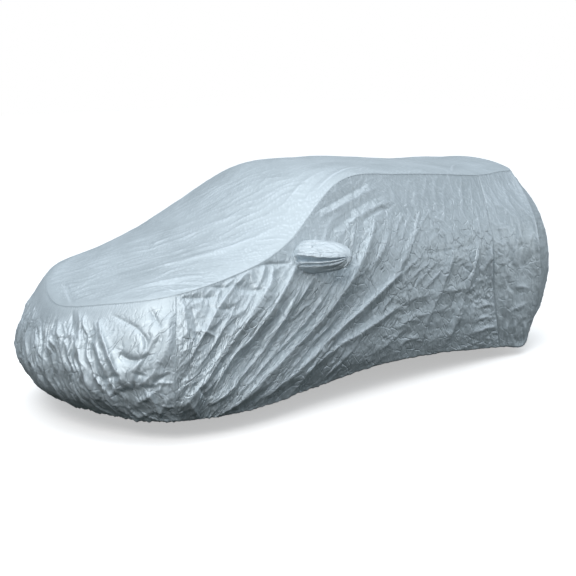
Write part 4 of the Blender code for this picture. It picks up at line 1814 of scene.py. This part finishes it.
@dataclass
class UprightPanel(Panel):
    """A panel that hangs from the shoulder seam to the elastic hem."""

    form: CoverForm = field(default_factory=CoverForm)
    first: float = 0.0
    last: float = 1.0
    cols: int = 200
    rows: int = 140
    leans: bool = False
    row_power: float = 1.12
    hem_band: float = 0.030
    gather_spacing: float = 0.034
    gather_height: float = 0.006
    gather_length: float = 0.12
    hem_wave: float = 0.004
    hem_thickness: float = 0.0016
    hem_corner: float = 0.004
    wave_length: float = 0.11
    ripple_length: float = 0.035
    wave_reach: float = 0.08
    edge_fade: float = 0.03
    brow_ease: float = 0.25
    brow_reach: float = 0.07
    brow_rise: float = 0.0
    rolled_edges: tuple[str, ...] = ("top",)
    hemmed: bool = True

    def numbers(self) -> Array:
        """Section numbers of the panel's columns."""
        return np.linspace(self.first, self.last, self.cols + 1)

    def drops(self) -> Array:
        """Drops of the panel's rows, closer together near the shoulder seam."""
        return np.linspace(0.0, 1.0, self.rows + 1) ** self.row_power

    def smooth_grid(self) -> Array:
        """Lay out the panel without its folds.

        Returns:
            A grid of points, from the shoulder seam down.
        """
        numbers, drops = np.meshgrid(self.numbers(), self.drops())
        if self.leans:
            numbers = self.form.leaned(numbers, drops)
        return self.form.wall(numbers, drops)

    def folded(self, grid: Array) -> Array:
        """Raise every fold on the panel, then gather its hem.

        Args:
            grid: the smooth panel.

        Returns:
            The points of its outer face.
        """
        outer = super().folded(grid)
        normals = grid_normals(grid)
        up = run_length(grid[::-1], 0)[::-1]
        along = run_length(grid, 1)
        edge = np.minimum(along, run_length(grid[:, ::-1], 1)[:, ::-1])
        noise = Noise(self.seed * 10 + 7)
        flat = np.stack([along / self.gather_spacing, up / 0.25 + 0.4], axis=-1)
        fade = np.exp(-up / self.gather_length) * smooth_step(edge / self.edge_fade)
        ripple = self.gather_height * fade * (noise.crests(flat, 2) - 0.3)
        band = self.hem_thickness * smooth_step((self.hem_band - up) / self.hem_corner)
        wave = self.hem_wave * noise.at(np.stack([along / self.wave_length, np.full_like(along, 4.5)], axis=-1))
        short = noise.at(np.stack([along / self.ripple_length, np.full_like(along, 8.5)], axis=-1))
        wave += 0.5 * self.hem_wave * short
        brow = self.brow_rise * rounded(run_length(grid, 0), self.brow_reach)
        brow *= smooth_step(edge / self.brow_ease)
        outer += normals * (ripple + band + brow)[..., None]
        outer[..., 2] += wave * np.exp(-up / self.wave_reach) * smooth_step(edge / self.edge_fade)
        return outer


@dataclass
class SidePanel(UprightPanel):
    """A side panel, with the round opening that its mirror pocket is sewn to."""

    mouth_numbers: Spot = (3.9, 4.3)
    mouth_drops: Spot = (0.05, 0.24)
    mouth_cols: int = 36
    mouth_rows: int = 26
    round_reach: float = 1.9
    rows_between: int = 4
    rolled_edges: tuple[str, ...] = ("top", "left", "right")

    def __post_init__(self) -> None:
        """Work out which columns and rows the opening takes."""
        low, high = self.mouth_numbers
        numbers = self.last - self.first - high + low
        before = round((self.cols - self.mouth_cols) * (low - self.first) / numbers)
        self.hole_cols = (before, before + self.mouth_cols)
        top, bottom = self.mouth_drops
        above = round((self.rows - self.mouth_rows) * top / (1 - bottom + top)) + self.rows_between
        self.hole_rows = (above, above + self.mouth_rows)

    def numbers(self) -> Array:
        """Section numbers of the columns, with one at each side of the opening."""
        places = [0, *self.hole_cols, self.cols]
        return np.interp(np.arange(self.cols + 1), places, [self.first, *self.mouth_numbers, self.last])

    def drops(self) -> Array:
        """Drops of the rows, with one at the top and one at the bottom of the opening."""
        places = [0, *self.hole_rows, self.rows]
        return np.interp(np.arange(self.rows + 1), places, [0.0, *self.mouth_drops, 1.0])

    def smooth_grid(self) -> Array:
        """Lay out the panel without its folds, with the cells round the opening eased onto an oval.

        Returns:
            A grid of points, from the shoulder seam down.
        """
        row, col = np.meshgrid(np.arange(self.rows + 1.0), np.arange(self.cols + 1.0), indexing="ij")
        middle = np.array([sum(self.hole_rows), sum(self.hole_cols)]) / 2
        half = np.array([self.mouth_rows, self.mouth_cols]) / 2
        away = (np.stack([row, col], axis=-1) - middle) / half
        square = np.abs(away).max(axis=-1)
        round_off = np.maximum(np.linalg.norm(away, axis=-1), 1e-6)
        reach = (self.round_reach - square) / (self.round_reach - 1)
        share = smooth_step(reach) * (square > 0.5)
        scale = 1 + (square / round_off - 1) * share
        eased = middle + away * half * scale[..., None]
        numbers = np.interp(eased[..., 1], np.arange(self.cols + 1), self.numbers())
        drops = np.interp(eased[..., 0], np.arange(self.rows + 1), self.drops())
        if self.leans:
            numbers = self.form.leaned(numbers, drops)
        return self.form.wall(numbers, drops)

    def kept_cells(self, rows: int, cols: int) -> Array:
        """Mark the cells outside the opening.

        Args:
            rows: how many rows of cells there are.
            cols: how many columns.

        Returns:
            True for every cell that is cloth.
        """
        keep = np.ones((rows, cols), bool)
        keep[self.hole_rows[0] : self.hole_rows[1], self.hole_cols[0] : self.hole_cols[1]] = False
        return keep

    def mouth(self, outer: Array) -> tuple[Array, Array]:
        """Read the rim of the opening.

        Args:
            outer: the folded panel.

        Returns:
            The rim's points in order, and the cloth's normals there.
        """
        top, bottom = self.hole_rows
        left, right = self.hole_cols
        ring = [(top, col) for col in range(left, right)] + [(row, right) for row in range(top, bottom)]
        ring += [(bottom, col) for col in range(right, left, -1)]
        ring += [(row, left) for row in range(bottom, top, -1)]
        rows, cols = np.array(ring).T
        return outer[rows, cols], grid_normals(self.smooth_grid())[rows, cols]


class Band(NamedTuple):
    """How far the pocket's cloth stands out at one level, as a share of its half height.

    Levels run from -1 at the pocket's bottom to 1 at its top.
    """

    level: float
    height: float


@dataclass
class MirrorPocket(Sheet):
    """A pocket of cloth that stands out of a side panel: a full upper lobe over a folded-in face and a rim."""

    tip: Place = (0.13, 0.25, 0.02)
    side: int = -1
    rings: int = 40
    finer: int = 2
    fullness: float = 2.6
    gap: float = 0.0004
    seed: int = 71
    wrinkle: float = 0.007
    wrinkle_spacing: float = 0.017
    droop: float = 0.35
    droop_start: float = -0.27
    tip_power: float = 1.7
    rim_depth: float = 0.14
    # Painted highlight: the whole pocket is painted paler, as if this share of it were an outward crest.
    crest: float = 0.7
    crinkle: float = 0.5
    welt: Welt = Welt(0.0032)
    seam_away: float = 0.008
    seam_lift: float = 0.0006
    bands: tuple[Band, ...] = (
        Band(-1.2, 0.0), Band(-0.80, -0.10), Band(-0.60, 0.06), Band(-0.50, 0.04), Band(-0.42, -0.08),
        Band(-0.33, 0.14), Band(-0.27, 0.15), Band(-0.18, -0.20), Band(0.00, -0.28), Band(0.10, -0.04),
        Band(0.17, 0.20), Band(0.32, 0.19), Band(0.7, 0.07), Band(1.2, 0.0),
    )

    def finer_ring(self, ring: Array) -> Array:
        """Add points between those of a closed ring.

        Args:
            ring: its points, one row each.

        Returns:
            Finer times as many points.
        """
        closed = np.concatenate([ring, ring[:1]])
        at = np.arange(len(ring) * self.finer) / self.finer
        return np.stack([np.interp(at, np.arange(len(closed)), closed[:, axis]) for axis in range(3)], axis=-1)

    def shell(self, ring: Array, normals: Array) -> Array:
        """Close the pocket from its mouth to its tip, and fold its face in.

        Args:
            ring: the rim that it is sewn to.
            normals: the panel's normals there.

        Returns:
            Rings of points by points round a ring, the tip's last.
        """
        base = self.finer_ring(ring + normals * (self.thickness + self.gap))
        centre = base.mean(axis=0)
        reach = np.array(self.tip) * (1, self.side, 1)
        out = unit(normals.mean(axis=0))
        share = (1 - (1 - np.linspace(0.0, 1.0, self.rings + 1)) ** self.tip_power)[:, None, None]
        size = np.maximum(1 - share**self.fullness, 0.0) ** (1 / self.fullness)
        low, high = base[:, 2].min(), base[:, 2].max()
        half = (high - low) / 2
        level = (base[:, 2] - (low + high) / 2) / half
        knots = np.array([band.level for band in self.bands])
        heights = np.array([[band.height] for band in self.bands])
        drooped = level + self.droop * share[..., 0] * smooth_step((level - self.droop_start) / 0.3)
        fold = smooth_curve(knots, heights, drooped.ravel()).reshape(drooped.shape) * half
        around = base - centre
        flat = unit(around * (1, 1, 0) + out * 0.06)
        front = smooth_step((around @ -np.array((1.0, 0.0, 0.0))) / 0.05 + 0.8)
        depth = smooth_step(share / self.rim_depth) * size
        noise = Noise(self.seed)
        across = level * half / self.wrinkle_spacing + 3.0
        grain = np.stack(np.broadcast_arrays(share[..., 0] * 3.0, across), axis=-1)
        fine = self.wrinkle * (noise.crests(grain, 2) - 0.3)[..., None] * smooth_step(share / 0.1) * size
        bulge = (fold * front)[..., None] * depth + fine
        return centre + reach * share + around * size + (flat + out * 0.7)[None] * bulge

    def build(self, ring: Array, normals: Array, finishes: Finishes) -> Piece:
        """Build the pocket on a panel's opening.

        Args:
            ring: the rim that it is sewn to.
            normals: the panel's normals there.
            finishes: the materials.

        Returns:
            The pocket's object.
        """
        shell = self.shell(ring, normals)
        rows, count = shell.shape[:2]
        number = np.arange((rows - 1) * count).reshape(rows - 1, count)
        over = np.roll(number, -1, axis=1)
        faces = np.stack([number[:-1], number[1:], over[1:], over[:-1]], axis=-1).reshape(-1, 4)
        tip = (rows - 1) * count
        cap = np.stack([number[-1], np.full(count, tip), over[-1]], axis=-1)
        points = np.concatenate([shell[:-1].reshape(-1, 3), shell[-1].mean(axis=0)[None]])
        lap = np.linalg.norm(np.diff(shell, axis=1, append=shell[:, :1]), axis=2)
        around = np.cumsum(lap, axis=1) - lap
        down = run_length(shell, 0)
        cut = np.stack([around, down], axis=-1)[:-1].reshape(-1, 2)
        cut = np.concatenate([cut, [[0.0, down[-1].mean()]]])
        sheet = self.mesh_object(Skin(points, faces.tolist() + cap.tolist(), cut, cut[:, ::-1],
                                      np.full(len(points), self.crest), np.full(len(points), self.crinkle)))
        seam = ring + unit(ring - ring.mean(axis=0)) * self.seam_away + normals * self.seam_lift
        mouth, seam, normals = (np.concatenate([part, part[:2]])
                                for part in (ring + normals * self.thickness, seam, normals))
        welt = self.welt.rolled(self.node + "_welt", [(mouth, normals)], finishes.coat)
        stitches = Stitching().sewn(self.node + "_stitches", [(seam, normals)], finishes.thread)
        self.dress(sheet, finishes, [welt, stitches])
        return sheet


class Lamp(NamedTuple):
    """A soft rectangular lamp: where it hangs over the floor, what it points at, its sides and its watts."""

    name: str
    place: Place
    aim: Place
    size: Spot
    power: float
    colour: Place


class SkyStop(NamedTuple):
    """A colour of the sky at one height, from 0 straight below to 1 straight above."""

    height: float
    colour: Place


@dataclass
class Studio:
    """The plain studio: a pale floor, soft lights and the camera."""

    floor_height: float = 0.0
    floor_size: float = 60.0
    floor_colour: Place = (0.90, 0.885, 0.87)
    floor_roughness: float = 0.9
    floor_glow: float = 0.45
    lamps: tuple[Lamp, ...] = (
        Lamp("key", (-5.9, -3.6, 5.0), (-1.4, -0.6, 0.7), (3.6, 2.8), 218.0, (1.0, 0.98, 0.965)),
        Lamp("tail", (6.6, -5.2, 2.2), (1.7, -0.8, 0.6), (5.0, 4.4), 84.0, (0.98, 0.99, 1.0)),
        Lamp("top", (0.0, 0.6, 6.0), (0.0, 0.0, 1.0), (8.0, 6.0), 70.0, (0.97, 0.99, 1.0)),
    )
    sky_stops: tuple[SkyStop, ...] = (
        SkyStop(0.0, (0.030, 0.034, 0.032)), SkyStop(1.0, (1.5, 1.58, 1.66)),
        SkyStop(0.36, (0.018, 0.023, 0.019)), SkyStop(0.48, (0.10, 0.125, 0.125)),
        SkyStop(0.53, (0.22, 0.265, 0.295)), SkyStop(0.62, (0.40, 0.46, 0.52)),
        SkyStop(0.75, (0.26, 0.31, 0.35)), SkyStop(0.86, (0.46, 0.52, 0.58)),
    )
    camera_place: Place = (-5.636, -6.128, 2.394)
    camera_down: float = 12.089
    camera_turn: float = -42.158
    lens: float = 70.62
    sensor: float = 36.0

    def build(self) -> None:
        """Build the floor, the lights, the sky and the camera."""
        self.floor()
        self.sky()
        for lamp in self.lamps:
            self.hang(lamp)
        self.camera()

    def floor(self) -> None:
        """Lay the pale floor."""
        half = self.floor_size / 2
        corners = [(-half, -half), (half, -half), (half, half), (-half, half)]
        mesh = bpy.data.meshes.new("floor")
        mesh.from_pydata([(x, y, self.floor_height - ORIGIN[2]) for x, y in corners], [], [(0, 1, 2, 3)])
        floor = bpy.data.objects.new("floor", mesh)
        bpy.context.scene.collection.objects.link(floor)
        material, tree = new_material("pale_floor")
        feed(tree, tree.nodes["Principled BSDF"], {
            "Base Color": (*self.floor_colour, 1), "Roughness": self.floor_roughness, "Specular IOR Level": 0.0,
            "Emission Color": (1, 1, 1, 1), "Emission Strength": self.floor_glow,
        })
        mesh.materials.append(material)
        floor.visible_glossy = False
        floor.visible_diffuse = False

    def sky(self) -> None:
        """Light the cover from a soft sky that darkens below the horizon, and show plain white behind it."""
        world = bpy.data.worlds.new("sky")
        bpy.context.scene.world = world
        world.use_nodes = True
        tree = world.node_tree
        tree.nodes.clear()
        place = add_node(tree, "ShaderNodeTexCoord", {})
        split = add_node(tree, "ShaderNodeSeparateXYZ", {0: place.outputs["Generated"]})
        rise = add_node(tree, "ShaderNodeMapRange", {"Value": split.outputs["Z"], "From Min": -1.0})
        ramp = add_node(tree, "ShaderNodeValToRGB", {"Fac": rise.outputs["Result"]})
        stops = ramp.color_ramp.elements
        for number, stop in enumerate(self.sky_stops):
            made = stops[number] if number < 2 else stops.new(stop.height)
            made.position, made.color = stop.height, (*stop.colour, 1)
        light = add_node(tree, "ShaderNodeBackground", {"Color": ramp.outputs["Color"], "Strength": 1.0})
        seen = add_node(tree, "ShaderNodeBackground", {"Color": (1, 1, 1, 1)})
        path = add_node(tree, "ShaderNodeLightPath", {})
        pick = add_node(tree, "ShaderNodeMixShader", {0: path.outputs["Is Camera Ray"], 1: light.outputs[0],
                                                      2: seen.outputs[0]})
        add_node(tree, "ShaderNodeOutputWorld", {"Surface": pick.outputs[0]})

    def hang(self, lamp: Lamp) -> None:
        """Hang a lamp.

        Args:
            lamp: the lamp.
        """
        data = bpy.data.lights.new(lamp.name, "AREA")
        data.shape = "RECTANGLE"
        data.size, data.size_y = lamp.size
        data.energy = lamp.power
        data.color = lamp.colour
        light = bpy.data.objects.new(lamp.name, data)
        light.location = Vector(lamp.place) - Vector(ORIGIN)
        light.rotation_euler = (Vector(lamp.aim) - Vector(lamp.place)).to_track_quat("-Z", "Y").to_euler()
        bpy.context.scene.collection.objects.link(light)

    def camera(self) -> None:
        """Stand the camera where the photograph was taken from."""
        data = bpy.data.cameras.new("camera")
        data.lens = self.lens
        data.sensor_width = self.sensor
        camera = bpy.data.objects.new("camera", data)
        camera.location = Vector(self.camera_place) - Vector(ORIGIN)
        camera.rotation_euler = (math.radians(90 - self.camera_down), 0.0, math.radians(self.camera_turn))
        bpy.context.scene.collection.objects.link(camera)
        bpy.context.scene.camera = camera
        bpy.context.scene.view_settings.view_transform = "Standard"


def build_cover() -> None:
    """Build and dress every piece of the cover."""
    form = CoverForm()
    front, rear = form.number("front_seam"), form.number("rear_seam")
    near = Relief(Facing.NEAR, NEAR_CREASES, NEAR_PULLS, NEAR_CRUMPLES)
    far = Relief(Facing.FAR, FAR_CREASES, FAR_PULLS, FAR_CRUMPLES)
    nose = Relief(Facing.NOSE, NOSE_CREASES, NOSE_PULLS, NOSE_CRUMPLES, NOSE_TAUTS)
    top = Relief(Facing.TOP, TOP_CREASES, TOP_PULLS, TOP_CRUMPLES)
    tail = Relief(Facing.TAIL, TAIL_CREASES, TAIL_PULLS, TAIL_CRUMPLES)
    tail_near = Relief(Facing.NEAR, TAIL_SIDE_CREASES, TAIL_SIDE_PULLS, TAIL_SIDE_CRUMPLES)
    tail_far = Relief(Facing.FAR, TAIL_SIDE_CREASES, TAIL_SIDE_PULLS, TAIL_SIDE_CRUMPLES)
    finishes = Finishes(CoatedCloth("silver_coat").material(), InnerFace().material(), Thread().material())
    TopPanel("top_panel", (1.6, 4.4), "stretched", reliefs=(top,), seed=1, form=form, crinkles=(0.15, 0.15),
             smooth_edges=frozenset({"top"})).build(finishes)
    pull = Settling((Slack((0, 1, 0), -0.66, -0.36, 0.0, 0.045),), calm_reach=0.34)
    UprightPanel("front_panel", (2.6, 0.9), "gathered", reliefs=(nose,), seed=2, form=form,
                 first=form.loop - front, last=form.loop + front, cols=270, rows=115, brow_rise=0.0075,
                 crinkles=(0.12, 0.65), welt=Welt(0.0017), smooth_edges=frozenset({"top"}),
                 settling=pull).build(finishes)
    UprightPanel("rear_panel", (4.0, 1.4), "gathered", reliefs=(tail, tail_near, tail_far), seed=3, form=form,
                 first=rear, last=form.loop - rear, cols=280, rows=120, crinkles=(0.25, 0.5), crinkle_reach=0.45,
                 settling=Settling(girth=0.010)).build(finishes)
    left = SidePanel("side_panel_left", (3.2, 1.5), "gathered", reliefs=(near,), seed=4, form=form, first=front,
                     last=rear, cols=340, rows=140, leans=True, mouth_numbers=(3.889, 4.278),
                     mouth_drops=(0.048, 0.237), crinkles=(0.35, 0.9), crinkle_reach=0.45,
                     settling=Settling((Slack((-1, 0, 1), 0.2, 1.1, 0.002, 0.014),)))
    right = SidePanel("side_panel_right", (3.2, 1.5), "gathered", reliefs=(far,), seed=5, form=form,
                      first=form.loop - rear, last=form.loop - front, cols=220, rows=100,
                      mouth_numbers=(form.loop - 4.333, form.loop - 4.0), mouth_drops=(0.107, 0.306),
                      mouth_cols=24, mouth_rows=20,
                      settling=Settling((Slack((-1, 0, 1), 0.0, 1.0, 0.006, 0.025),)))
    pockets = (
        (left, MirrorPocket("mirror_pocket_left", (0.6, 0.4), "stretched", tip=(0.13, 0.25, 0.02), side=-1)),
        (right, MirrorPocket("mirror_pocket_right", (0.52, 0.37), "stretched", tip=(0.12, 0.22, -0.03), side=1)),
    )
    for panel, pocket in pockets:
        panel.build(finishes)
        ring, normals = panel.mouth(panel.folded(panel.smooth_grid()))
        pocket.build(ring, normals, finishes)


def main() -> None:
    """Build the cover and its studio."""
    logging.basicConfig(level=logging.INFO, format="%(name)s: %(message)s")
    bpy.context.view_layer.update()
    build_cover()
    Studio().build()


if __name__ == "__main__":
    main()
